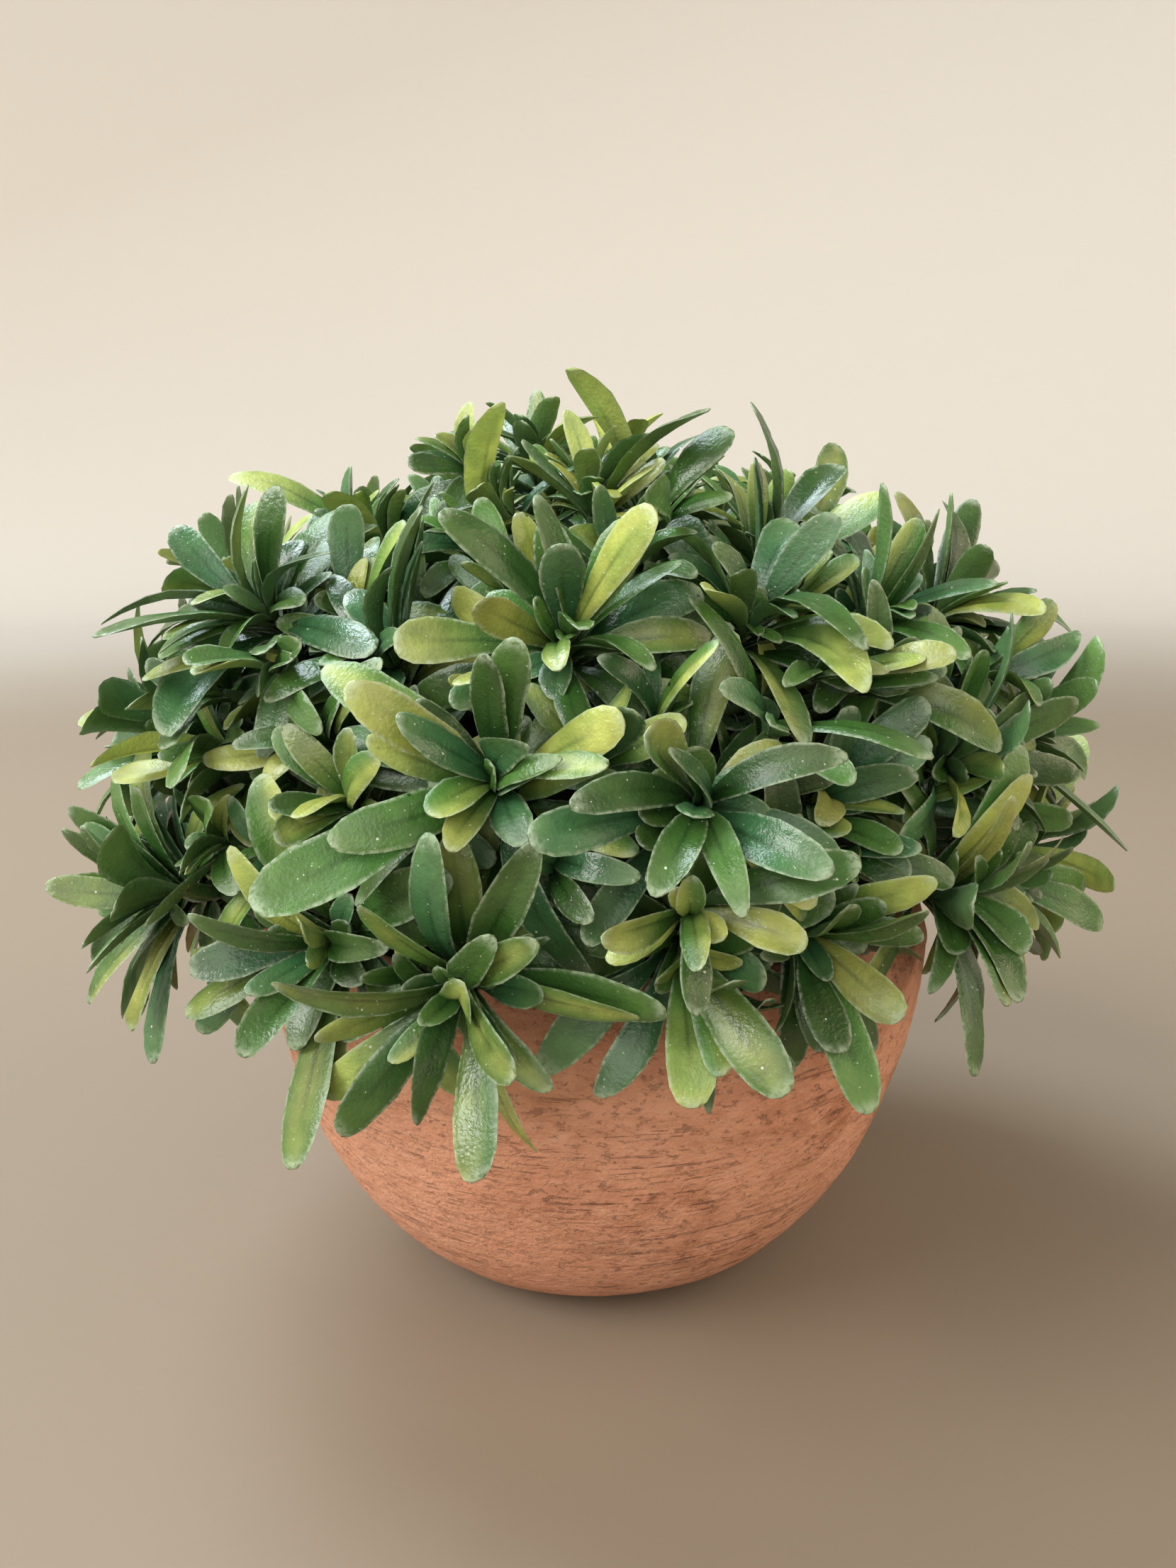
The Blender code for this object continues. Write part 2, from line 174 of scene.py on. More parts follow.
class Paint(Sheet):
    """A material's sheet: a Principled surface fed by Object coordinates or the piece's own map."""

    def __init__(self, name: str, roughness: float, specular: float = 0.5) -> None:
        """Starts a material.

        Args:
            name: the material's name.
            roughness: the surface's plain roughness.
            specular: the surface's plain specular level.
        """
        self.material = bpy.data.materials.new(name)
        self.material.use_nodes = True
        super().__init__(self.material.node_tree)
        self.surface = self.tree.nodes["Principled BSDF"]
        self.surface.inputs["Roughness"].default_value = roughness
        self.surface.inputs["Specular IOR Level"].default_value = specular
        self.place = self.add("ShaderNodeTexCoord").outputs["Object"]

    def mix(self, share: Feed, a: Feed, b: Feed, blend: str = "MIX") -> Socket:
        """A colour between two colours, or one laid on the other.

        Args:
            share: how much of the second colour there is.
            a: the first colour.
            b: the second colour.
            blend: how the second is laid on the first.

        Returns:
            The colour.
        """
        node = self.tree.nodes.new("ShaderNodeMix")
        node.data_type, node.blend_type, node.clamp_factor = "RGBA", blend, True
        self.feed(node.inputs[0], share)
        self.feed(node.inputs[6], a)
        self.feed(node.inputs[7], b)
        return node.outputs[2]

    def cloud(self, cloud: Cloud) -> Socket:
        """Soft noise on Object coordinates.

        Args:
            cloud: its scale and character.

        Returns:
            The noise's height.
        """
        place = self.add("ShaderNodeMapping", {"Vector": self.place, "Scale": cloud.squeeze}).outputs[0]
        character = {"Scale": cloud.scale, "Detail": cloud.detail, "Roughness": cloud.rough}
        return self.add("ShaderNodeTexNoise", {"Vector": place, **character}).outputs["Fac"]

    def patches(self, patches: Patches) -> Socket:
        """Soft patches on Object coordinates, as a share."""
        return self.step(self.cloud(patches.cloud), patches.step)

    def bump(self, height: Feed, distance: float, strength: float = 1.0) -> Socket:
        """A bump's normal from a height, with its depth in metres."""
        feeds = {"Height": height, "Distance": distance, "Strength": strength}
        return self.add("ShaderNodeBump", feeds).outputs[0]

    def finish(
        self, colour: Feed, roughness: Feed | None = None, normal: Feed | None = None
    ) -> bpy.types.Material:
        """Wires the surface.

        Args:
            colour: the base colour.
            roughness: a varying roughness, if it has one.
            normal: a bump's normal, if it has one.

        Returns:
            The material.
        """
        self.feed(self.surface.inputs["Base Color"], colour)
        if roughness is not None:
            self.feed(self.surface.inputs["Roughness"], roughness)
        if normal is not None:
            self.feed(self.surface.inputs["Normal"], normal)
        return self.material


class Grower:
    """A Geometry Nodes tree with named inputs, and the plain mesh that it makes."""

    def __init__(self, name: str) -> None:
        """Starts a tree.

        Args:
            name: the tree's name.
        """
        self.tree = bpy.data.node_groups.new(name, "GeometryNodeTree")
        self.sheet = Sheet(self.tree)
        self.keys: dict[str, str] = {}
        self.values: dict[str, object] = {}
        self.tree.interface.new_socket("Geometry", in_out="INPUT", socket_type="NodeSocketGeometry")
        self.tree.interface.new_socket("Geometry", in_out="OUTPUT", socket_type="NodeSocketGeometry")
        self.inputs = self.tree.nodes.new("NodeGroupInput")

    def geometry(self) -> Socket:
        """What the modified object's own mesh brings in."""
        return self.inputs.outputs["Geometry"]

    def given(self, name: str, kind: str, value: object) -> Socket:
        """Adds a named input to the tree.

        Args:
            name: the input's name.
            kind: its kind of socket.
            value: the value that the modifier gives it.

        Returns:
            Its socket inside the tree.
        """
        socket = self.tree.interface.new_socket(name, in_out="INPUT", socket_type=f"NodeSocket{kind}")
        self.keys[name] = socket.identifier
        self.values[name] = value
        return self.inputs.outputs[name]

    def read(self, name: str, kind: str = "FLOAT") -> Socket:
        """An attribute of the mesh."""
        return self.sheet.add("GeometryNodeInputNamedAttribute", {"Name": name}, data_type=kind).outputs[0]

    def read_vector(self, name: str) -> Socket:
        """A vector attribute of the mesh."""
        return self.read(name, "FLOAT_VECTOR")

    def close(self, geometry: Socket, material: Socket) -> None:
        """Ends the tree in real, smooth, dressed faces.

        Args:
            geometry: what the tree has made.
            material: what the faces are dressed in.
        """
        real = self.sheet.add("GeometryNodeRealizeInstances", {"Geometry": geometry}).outputs[0]
        smooth = self.sheet.add("GeometryNodeSetShadeSmooth", {"Geometry": real}).outputs[0]
        dressed = self.sheet.add("GeometryNodeSetMaterial", {"Geometry": smooth, "Material": material})
        end = self.tree.nodes.new("NodeGroupOutput")
        self.tree.links.new(dressed.outputs[0], end.inputs[0])

    def grow(self, start: bpy.types.Object, name: str) -> bpy.types.Object:
        """Runs the tree on a starting object.

        Args:
            start: the object whose mesh holds the seats or lines; it is removed.
            name: the finished piece's name.

        Returns:
            A plain mesh object at the origin.
        """
        modifier = start.modifiers.new(self.tree.name, "NODES")
        modifier.node_group = self.tree
        for key, value in self.values.items():
            modifier[self.keys[key]] = value
        bpy.context.view_layer.update()
        graph = bpy.context.evaluated_depsgraph_get()
        mesh = bpy.data.meshes.new_from_object(start.evaluated_get(graph), depsgraph=graph)
        start.modifiers.remove(modifier)
        bpy.data.objects.remove(start)
        mesh.name = name
        for extra in [a.name for a in mesh.attributes if a.name in LeafSeats.KEPT_OUT]:
            mesh.attributes.remove(mesh.attributes[extra])
        return link(name, mesh)


def link(name: str, mesh: bpy.types.Mesh) -> bpy.types.Object:
    """Puts a mesh in the scene.

    Args:
        name: the object's name.
        mesh: its mesh.

    Returns:
        The new object.
    """
    obj = bpy.data.objects.new(name, mesh)
    bpy.context.scene.collection.objects.link(obj)
    return obj


def mesh_of(name: str, points: list, faces: list, edges: list | None = None) -> bpy.types.Mesh:
    """Makes a mesh.

    Args:
        name: the mesh's name.
        points: its points.
        faces: its faces, as numbers of points.
        edges: its edges, where it has no faces.

    Returns:
        The mesh.
    """
    mesh = bpy.data.meshes.new(name)
    mesh.from_pydata([tuple(p) for p in points], edges or [], faces)
    mesh.update()
    return mesh


# ---------------------------------------------------------------- the pot


def bowl_share(angle: float, spread: float, rise: float) -> tuple[float, float]:
    """Shares of the way out and of the way up at an angle along the bowl's curve."""
    return math.sin(angle) ** spread, 1 - max(0.0, math.cos(angle)) ** rise


@dataclass
class Bowl:
    """The terracotta bowl, turned on a wheel: it swells from foot to belly and ends in a round lip."""

    radius: float = 0.056
    height: float = 0.064
    belly: float = 0.0575
    foot: float = 0.021
    mouth: float = 0.0548
    wall: float = 0.0045
    floor: float = 0.007
    spread: float = 0.99
    rise: float = 1.2
    sides: int = 160
    wall_steps: int = 64
    lip_steps: int = 12
    inner_steps: int = 16
    # The wheel's rings: their depth and pitch, how they wander, and the patches where they fade.
    ring_depth: float = 0.00011
    ring_pitch: float = 0.0021
    ring_sway: float = 2.0
    ring_wander: float = 0.03
    ring_least: float = 0.5
    ring_patch: tuple[float, float, float] = (0.02, 0.02, 0.006)
    # The dents: their depth and size, and their octaves' falloff, step and number.
    dent_depth: float = 0.00022
    dent_size: float = 0.016
    dent_octaves: tuple[float, float, int] = (0.8, 2.1, 3)
    relief_rows: int = 4
    crease: float = 50.0

    def radius_at(self, height: float) -> float:
        """The bowl's outer radius.

        Args:
            height: a height above the foot.

        Returns:
            The radius there.
        """
        if height < self.belly:
            share = max(0.0, min(1.0, height / self.belly))
            angle = math.acos((1 - share) ** (1 / self.rise))
            return self.foot + (self.radius - self.foot) * math.sin(angle) ** self.spread
        share = min(1.0, (height - self.belly) / (self.height - self.belly))
        return self.radius - (self.radius - self.mouth) * share**2

    def wall_curve(self, widest: float, bottom: float, steps: int) -> list[tuple[float, float]]:
        """The swelling wall, from the foot's edge to the belly.

        Args:
            widest: the radius at the belly.
            bottom: the height at the foot's edge.
            steps: how many steps the curve has.

        Returns:
            The curve, as (radius, height).
        """
        curve = []
        for step in range(steps + 1):
            out, up = bowl_share(math.pi / 2 * step / steps, self.spread, self.rise)
            curve.append((self.foot + (widest - self.foot) * out, bottom + (self.belly - bottom) * up))
        return curve

    def lip_curve(self) -> list[tuple[float, float]]:
        """The rounded lip, from the outside of the mouth over to its inside.

        Returns:
            The curve, as (radius, height).
        """
        half = self.wall / 2
        middle = self.mouth - half
        turns = [math.pi * step / self.lip_steps for step in range(self.lip_steps + 1)]
        return [(middle + half * math.cos(t), self.height - half + half * math.sin(t)) for t in turns]

    def relief(self, point: Vector) -> float:
        """The wheel's rings and shallow dents.

        Args:
            point: a point on the smooth wall.

        Returns:
            How far the surface stands out there.
        """
        sway = self.ring_sway * noise.noise(point / self.ring_wander)
        rings = math.sin(math.tau * point.z / self.ring_pitch + sway)
        patch = Vector([place / size for place, size in zip(point, self.ring_patch)])
        strength = self.ring_least + noise.noise(patch)
        dents = noise.fractal(point / self.dent_size, *self.dent_octaves)
        return self.ring_depth * rings * strength + self.dent_depth * dents

    def build(self) -> bpy.types.Object:
        """Turns the bowl, with its relief on the outside.

        Returns:
            The bowl.
        """
        outside = self.wall_curve(self.radius, 0.0, self.wall_steps)
        inside = self.wall_curve(self.radius - self.wall, self.floor, self.inner_steps)[::-1]
        profile = [*outside, *self.lip_curve(), *inside]
        relief_ends = len(outside) + self.lip_steps // 2
        points, faces = [], []
        for row, (radius, height) in enumerate(profile):
            for side in range(self.sides):
                turn = math.tau * side / self.sides
                point = Vector((radius * math.cos(turn), radius * math.sin(turn), height))
                if 0 < row < relief_ends:
                    out = Vector((point.x, point.y, 0.0)).normalized()
                    point += out * (self.relief(point) * min(1.0, row / self.relief_rows))
                points.append(point)
        for row in range(len(profile) - 1):
            for side in range(self.sides):
                a, b = row * self.sides + side, row * self.sides + (side + 1) % self.sides
                faces.append((a, b, b + self.sides, a + self.sides))
        last = (len(profile) - 1) * self.sides
        for ring, centre in ((0, Vector((0, 0, 0))), (last, Vector((0, 0, self.floor)))):
            points.append(centre)
            for side in range(self.sides):
                a, b = ring + side, ring + (side + 1) % self.sides
                faces.append((b, a, len(points) - 1) if ring == 0 else (a, b, len(points) - 1))
        mesh = mesh_of("terracotta_bowl", points, faces)
        mesh.shade_smooth()
        mesh.set_sharp_from_angle(angle=math.radians(self.crease))
        return link("terracotta_bowl", mesh)


@dataclass(frozen=True)
class Terracotta:
    """Matt salmon clay with a brushed, lightly pitted skin that has caught dirt in patches and scratches."""

    clay: Colour = (0.650, 0.308, 0.190, 1.0)
    pale: Colour = (0.690, 0.350, 0.225, 1.0)
    rust: Colour = (0.380, 0.150, 0.075, 1.0)
    soot: Colour = (0.150, 0.072, 0.045, 1.0)
    ridge_highlight: Colour = (0.720, 0.450, 0.320, 1.0)
    roughness: float = 0.88
    specular: float = 0.22
    pit_strength: float = 0.60
    mark_strength: tuple[float, float] = (0.84, 0.10)
    relief: float = 0.00038
    relief_strength: float = 0.9

    TONES = Patches(Cloud(36, 4), Step(0.34, 0.66))
    MOTTLE = Patches(Cloud(150, 6, (0.9, 0.9, 2.6), 0.72), Step(0.44, 0.70, 0.0, 0.42))
    LINES = Patches(Cloud(60, 6, (1.0, 1.0, 26.0), 0.66), Step(0.565, 0.64))
    LINE_BREAKS = Patches(Cloud(260, 4, (1.0, 1.0, 1.2), 0.7), Step(0.40, 0.58))
    LINE_GROUPS = Patches(Cloud(30, 2, (1.0, 1.0, 1.6)), Step(0.42, 0.56))
    SPOTS = Patches(Cloud(560, 5, (0.9, 0.9, 1.5), 0.74), Step(0.56, 0.66))
    SPOT_BREAKS = Patches(Cloud(1300, 2), Step(0.30, 0.55, 0.35, 1.0))
    DIRT = Patches(Cloud(42, 3, (0.8, 0.8, 1.4), 0.6), Step(0.40, 0.60, 0.12, 1.0))
    # The dirt share grows towards +X: partly dirt, partly painted shade that darkens the pot's right side.
    DIRT_AND_SHADE_BY_SIDE = Step(-0.046, 0.044, 0.18, 1.35)
    DIRT_BY_HEIGHT = Step(0.010, 0.048, 0.65, 1.0)
    STAINS = Patches(Cloud(120, 5, rough=0.7), Step(0.40, 0.62, 0.10, 0.72))
    RIDGES = Cloud(380, 4, (0.8, 0.8, 2.2), 0.62)
    # Painted highlight: how much paler the relief's ridges are made.
    RIDGE_HIGHLIGHT_SHARE = Step(0.50, 0.72, 0.0, 0.30)
    WEAVE = Cloud(760, 3, (1.0, 1.0, 0.18))
    WOVEN = Step(0.3, 0.8)
    # What stands out in the relief besides the weave, and how far.
    GRAINS = ((Cloud(1500, 3), 1.0), (Cloud(300, 5), 1.5), (RIDGES, 0.7))
    WEAVE_SHARE = 1.6

    def scratches(self, paint: Paint) -> Socket:
        """Thin broken lines that run round the bowl, as a share."""
        return paint.product(*(paint.patches(p) for p in (self.LINES, self.LINE_BREAKS, self.LINE_GROUPS)))

    def pits(self, paint: Paint) -> Socket:
        """Small ragged spots, a little wider than they are high, as a share."""
        return paint.product(paint.patches(self.SPOTS), paint.patches(self.SPOT_BREAKS))

    def dirt(self, paint: Paint) -> Socket:
        """Where the dirt lies: in patches and more towards the lip; towards one side it also carries painted
        shade, darkening the pot's right side.

        Args:
            paint: the clay's sheet.

        Returns:
            The share of dirt, with painted shade towards the right side.
        """
        place = paint.add("ShaderNodeSeparateXYZ", {0: paint.place}).outputs
        # Painted shade in part: the share grows towards +X, darkening the pot's right side.
        side, high = paint.step(place["X"], self.DIRT_AND_SHADE_BY_SIDE), paint.step(place["Z"], self.DIRT_BY_HEIGHT)
        return paint.product(paint.patches(self.DIRT), side, high)

    def grain(self, paint: Paint, dirt: Socket) -> Socket:
        """The skin's fine relief, without its marks.

        Args:
            paint: the clay's sheet.
            dirt: the share of dirt with its painted shade; a woven grain shows where there is more.

        Returns:
            The relief's height.
        """
        height = paint.product(paint.cloud(self.WEAVE), paint.step(dirt, self.WOVEN), self.WEAVE_SHARE)
        for cloud, share in self.GRAINS:
            height = paint.math("MULTIPLY_ADD", paint.cloud(cloud), share, height)
        return height

    def dress(self) -> bpy.types.Material:
        """Mixes the clay.

        Returns:
            The finish.
        """
        paint = Paint("terracotta", self.roughness, specular=self.specular)
        scratches, pits, dirt = self.scratches(paint), self.pits(paint), self.dirt(paint)
        marks = paint.math("MAXIMUM", scratches, paint.product(pits, self.pit_strength))
        colour = paint.mix(paint.patches(self.TONES), self.clay, self.pale)
        colour = paint.mix(paint.patches(self.MOTTLE), colour, self.rust)
        colour = paint.mix(paint.product(dirt, paint.patches(self.STAINS)), colour, self.rust)
        dark = paint.product(marks, paint.math("MULTIPLY_ADD", dirt, *self.mark_strength))
        colour = paint.mix(dark, colour, self.soot)
        # Painted highlight: the relief's ridges are made paler.
        colour = paint.mix(paint.step(paint.cloud(self.RIDGES), self.RIDGE_HIGHLIGHT_SHARE), colour, self.ridge_highlight)
        height = paint.math("SUBTRACT", self.grain(paint, dirt), marks)
        return paint.finish(colour, normal=paint.bump(height, self.relief, self.relief_strength))


# ---------------------------------------------------------------- the crown's rule


def direction(elevation: float, turn: float) -> Vector:
    """A unit vector at an elevation and a turn about Z from the front, in degrees."""
    e, t = math.radians(elevation), math.radians(turn)
    return Vector((math.cos(e) * math.sin(t), -math.cos(e) * math.cos(t), math.sin(e)))


class Cut(Enum):
    """The two cuts that the mould makes: long blades, and the small spoons in the heart of a head."""

    BLADE = "blade"
    SPOON = "spoon"


@dataclass
class Leaf:
    """One blade: its root, the way it grows, its upper side's normal, its sizes, and how it bends."""

    root: Vector
    way: Vector
    upper: Vector
    length: float
    width: float
    bend: float
    cut: Cut = Cut.BLADE
    head: int = 0
    arch: float = 0.0
    curl: float = 0.0
    cup: float = 0.0
    twirl: float = 0.0
    sweep: float = 0.0
    taper: float = 0.0
    finish: str = ""

    WIDEST_AT = 0.64
    TIP_AT = 0.95
    TIP_WIDTH_SHARE = 0.5
    ROOT_SHARE = 0.3
    THICKNESS = 0.0011
    STATIONS = (0.24, 0.45, 0.66, 0.86, 1.0)
    HALF_WIDTHS = (0.5, 0.8, 1.0, 0.85, 0.35)

    def point(self, along: float, across: float) -> Vector:
        """A point of the plain blade, as the solids have it.

        Args:
            along: a share of the length.
            across: a share of the half width.

        Returns:
            The point.
        """
        spine = self.root + self.way * (self.length * along)
        side = self.way.cross(self.upper) * (self.width / 2 * across)
        return spine + side - self.upper * (self.bend * self.length * along**2)

    def outline(self, start: float = 0.0) -> list[Vector]:
        """The plain blade's corners.

        Args:
            start: the share of the length where a blunt blade starts, or 0 for the pointed root.

        Returns:
            The corners, in order round the blade.
        """
        tip = self.TIP_WIDTH_SHARE
        corners = [(self.WIDEST_AT, 1.0), (self.TIP_AT, tip), (self.TIP_AT, -tip), (self.WIDEST_AT, -1.0)]
        if start:
            share = start / self.WIDEST_AT
            corners = [(start, share), *corners, (start, -share)]
        else:
            corners = [(0.0, 0.0), *corners]
        return [self.point(along, across) for along, across in corners]

    def tree(self) -> BVHTree:
        """A search tree of the plain blade past its root."""
        rim = self.outline(start=self.ROOT_SHARE)
        return BVHTree.FromPolygons([tuple(p) for p in rim], [(0, 1, 4, 5), (1, 2, 3, 4)])

    def edge_samples(self) -> list[Vector]:
        """Points along the plain blade's rim, four to each side."""
        rim = self.outline()
        return [a.lerp(b, quarter / 4) for a, b in zip(rim, rim[1:] + rim[:1]) for quarter in range(4)]

    def bent_point(self, along: float, across: float) -> Vector:
        """A point of the bent blade, by the rule that the node tree follows.

        Args:
            along: a share of the length.
            across: a share of the half width.

        Returns:
            The point.
        """
        half = self.width / 2 * across * (1 + self.taper * (self.WIDEST_AT - along))
        turn = self.twirl * along
        drop = self.bend * along**2 + self.curl * along**4 - self.arch * 4 * along * (1 - along)
        lift = self.cup * abs(across * half) - self.length * drop + half * math.sin(turn)
        swing = half * math.cos(turn) + self.sweep * self.length * along**2
        side = self.way.cross(self.upper)
        return self.root + self.way * (self.length * along) + side * swing + self.upper * lift

    def bent_rows(self) -> list[Vector]:
        """The bent blade's points past its root, three for each station."""
        rows = zip(self.STATIONS, self.HALF_WIDTHS)
        return [self.bent_point(along, share * half) for along, half in rows for share in (1.0, 0.0, -1.0)]


@dataclass
class Space:
    """The room that a bent blade takes: a search tree, and a ball round it for a quick first test."""

    points: list[Vector]
    tree: BVHTree | None = None
    middle: Vector | None = None
    reach: float = 0.0

    def __post_init__(self) -> None:
        """Works out the tree and the ball."""
        quads = []
        for first in range(0, len(self.points) - 3, 3):
            quads += [(first, first + 1, first + 4, first + 3), (first + 1, first + 2, first + 5, first + 4)]
        self.tree = BVHTree.FromPolygons([tuple(p) for p in self.points], quads)
        self.middle = sum(self.points, Vector()) / len(self.points)
        self.reach = max((p - self.middle).length for p in self.points)

    def meets(self, other: "Space") -> bool:
        """Whether two blades cross.

        Args:
            other: the other blade's room.

        Returns:
            True where they do.
        """
        if (self.middle - other.middle).length > self.reach + other.reach:
            return False
        return bool(self.tree.overlap(other.tree))


@dataclass(frozen=True)
class Whorl:
    """One ring of leaves round a head's axis: how many, their lean in degrees, length and relative width."""

    count: int
    lean: tuple[float, float]
    length: tuple[float, float]
    width: tuple[float, float]
    cut: Cut = Cut.BLADE
    lift: float = 0.0


@dataclass(frozen=True)
class Marker:
    """A long blade that marks the crown: its head, its hour on a clock face, its lean, length and finish."""

    head: int
    clock: float
    lean: float
    length: float
    finish: str = "leaf_green"


@dataclass
class CrownRule:
    """Where the crown's masses, heads and leaves stand. Its numbers and draws are the solids' own."""

    bowl: Bowl
    # The flattened ball: its middle, its half sizes and how full it swells, and the body's share of it.
    centre: Vector = field(default_factory=lambda: Vector((0.0, 0.0, 0.0755)))
    radius: float = 0.064
    height: float = 0.050
    fullness: float = 0.9
    core_share: float = 0.68
    # The heads: how far inside their mass they keep, and how far they shift, sink, tilt and turn up.
    margin: float = 0.004
    shift: float = 0.0030
    depth: tuple[float, float] = (-0.0050, 0.0020)
    tilt: float = 0.16
    lift: float = 0.1
    # The blades: the step between whorls, the draws each one gets, and how these vary and ease.
    whorl_step: float = 0.0011
    tries: int = 4
    twist: float = 0.45
    bends: tuple[float, float] = (0.02, 0.2)
    scatter: float = 0.50
    clearance: float = 0.0008
    shrink: float = 0.06
    raise_by: float = 5.0
    upright: float = 18.0
    # From how upright a head its leaves are shorter, and by what share at the very top.
    top_from: float = 0.72
    top_shrink: float = 0.34
    # Rings of masses and of heads: how many, their elevation and the first one's turn, in degrees.
    mass_rings: tuple[tuple[str, int, float, float], ...] = (
        ("skirt", 6, -1.0, -13.0),
        ("shoulder", 5, 44.0, 20.0),
        ("top", 1, 90.0, 0.0),
    )
    head_rings: tuple[tuple[int, float, float], ...] = (
        (18, -4.0, 7.0),
        (18, 14.0, -10.0),
        (15, 37.0, -4.0),
        (10, 59.0, 2.0),
        (4, 80.0, 30.0),
    )
    whorls: tuple[Whorl, ...] = (
        Whorl(5, (46.0, 88.0), (0.0190, 0.0270), (0.28, 0.33)),
        Whorl(4, (20.0, 54.0), (0.0155, 0.0235), (0.29, 0.36)),
        Whorl(2, (12.0, 40.0), (0.0100, 0.0155), (0.36, 0.44)),
    )
    marker_width: float = 0.31
    marker_bend: float = 0.10
    markers: tuple[Marker, ...] = (
        Marker(0, 4.7, 23.0, 0.0260, "leaf_lime_ridge"),
        Marker(0, 6.3, 30.0, 0.0230, "leaf_lime_tip"),
        Marker(1, 4.5, 20.0, 0.0210, "leaf_yellow"),
        Marker(1, 5.8, 34.0, 0.0270),
        Marker(2, 6.5, 54.0, 0.0260),
        Marker(2, 7.0, 30.0, 0.0220, "leaf_lime_side"),
        Marker(3, 4.3, 18.0, 0.0220),
        Marker(3, 3.2, 38.0, 0.0220),
        Marker(15, 4.5, 28.0, 0.0220),
        Marker(15, 5.1, 60.0, 0.0240, "leaf_cool_green"),
        Marker(16, 5.5, 52.0, 0.0300, "leaf_lime_ridge"),
        Marker(17, 2.8, 68.0, 0.0260),
        Marker(17, 5.0, 38.0, 0.0250, "leaf_lime_side"),
        Marker(17, 7.5, 48.0, 0.0240, "leaf_deep_green"),
        Marker(18, 0.5, 30.0, 0.0220, "leaf_deep_green"),
        Marker(18, 7.6, 52.0, 0.0330),
        Marker(22, 6.1, 52.0, 0.0270),
        Marker(22, 9.9, 48.0, 0.0190, "leaf_deep_green"),
        Marker(36, 2.0, 24.0, 0.0240, "leaf_yellow"),
        Marker(38, 10.3, 16.0, 0.0240, "leaf_deep_green"),
        Marker(39, 4.5, 64.0, 0.0250, "leaf_deep_green"),
        Marker(49, 5.7, 42.0, 0.0280, "leaf_deep_green"),
        Marker(51, 4.5, 38.0, 0.0260),
        Marker(52, 9.8, 18.0, 0.0275, "leaf_deep_green"),
        Marker(53, 2.6, 25.0, 0.0260, "leaf_lime_ridge"),
        Marker(59, 3.8, 34.0, 0.0210, "leaf_yellow"),
        Marker(59, 7.5, 28.0, 0.0280, "leaf_lime_tip"),
        Marker(60, 3.4, 20.0, 0.0250, "leaf_yellow"),
        Marker(61, 9.3, 34.0, 0.0260, "leaf_yellow"),
    )

    def masses(self) -> dict[str, Vector]:
        """Where the masses lie.

        Returns:
            Each mass's node, and the direction from the crown's centre to its middle.
        """
        found = {}
        for ring, count, elevation, first in self.mass_rings:
            for index in range(count):
                name = f"foliage_{ring}" if count == 1 else f"foliage_{ring}_{index + 1}"
                found[name] = direction(elevation, first + 360 * index / count)
        return found

    def borders(self, name: str) -> list[Vector]:
        """The unit normals, pointing into a mass, of the planes halfway to each other mass."""
        masses = self.masses()
        return [(masses[name] - other).normalized() for key, other in masses.items() if key != name]

    def on_crown(self, elevation: float, turn: float) -> Vector:
        """A point on the flattened ball that the heads lie on.

        Args:
            elevation: the point's elevation, in degrees.
            turn: its turn about Z from the front, in degrees.

        Returns:
            The point.
        """
        way = direction(0.0, turn)
        e = math.radians(elevation)
        out = self.radius * math.cos(e) ** self.fullness
        up = self.height * math.copysign(abs(math.sin(e)) ** self.fullness, e)
        return self.centre + Vector((way.x * out, way.y * out, up))

    def normal(self, point: Vector) -> Vector:
        """The outward normal of the flattened ball through a point.

        Args:
            point: the point.

        Returns:
            The unit normal.
        """
        away = point - self.centre
        wide, tall = self.radius**2, self.height**2
        return Vector((away.x / wide, away.y / wide, away.z / tall)).normalized()

    def heads(self) -> list[Head]:
        """Sets out the leaf heads.

        Returns:
            Every head as (mass, centre, axis).
        """
        masses = self.masses()
        rng = random.Random(SEED)
        heads = []
        for count, elevation, first in self.head_rings:
            for index in range(count):
                centre = self.on_crown(elevation, first + 360 * index / count)
                centre += Vector([rng.uniform(-self.shift, self.shift) for _ in range(3)])
                centre += self.normal(centre) * rng.uniform(*self.depth)
                name = max(masses, key=lambda key: masses[key].dot(centre - self.centre))
                for normal in self.borders(name):
                    short = self.margin - normal.dot(centre - self.centre)
                    centre += normal * max(0.0, short)
                tilt = Vector([rng.uniform(-self.tilt, self.tilt) for _ in range(3)])
                axis = (self.normal(centre) + tilt + Vector((0, 0, self.lift))).normalized()
                heads.append((name, centre, axis))
        return heads

    def clears_pot(self, points: list[Vector]) -> bool:
        """Whether a blade stays outside the pot's wall or above its lip.

        Args:
            points: points of the blade.

        Returns:
            True where every point does.
        """
        for point in points:
            outside = math.hypot(point.x, point.y) > self.bowl.radius_at(point.z) + self.clearance
            if point.z < self.bowl.height + self.clearance and not outside:
                return False
        return True

    def inside_space(self, leaf: Leaf, normals: list[Vector]) -> bool:
        """Whether a blade keeps to its mass's side of every border."""
        room = GAP / 2 + Leaf.THICKNESS / 2
        return all(n.dot(point - self.centre) > room for n in normals for point in leaf.outline())

    def top_share(self, axis: Vector) -> float:
        """How long a head's leaves are, as a share: they are shorter the more the head faces up."""
        return 1 - self.top_shrink * max(0.0, axis.z - self.top_from) / (1 - self.top_from)

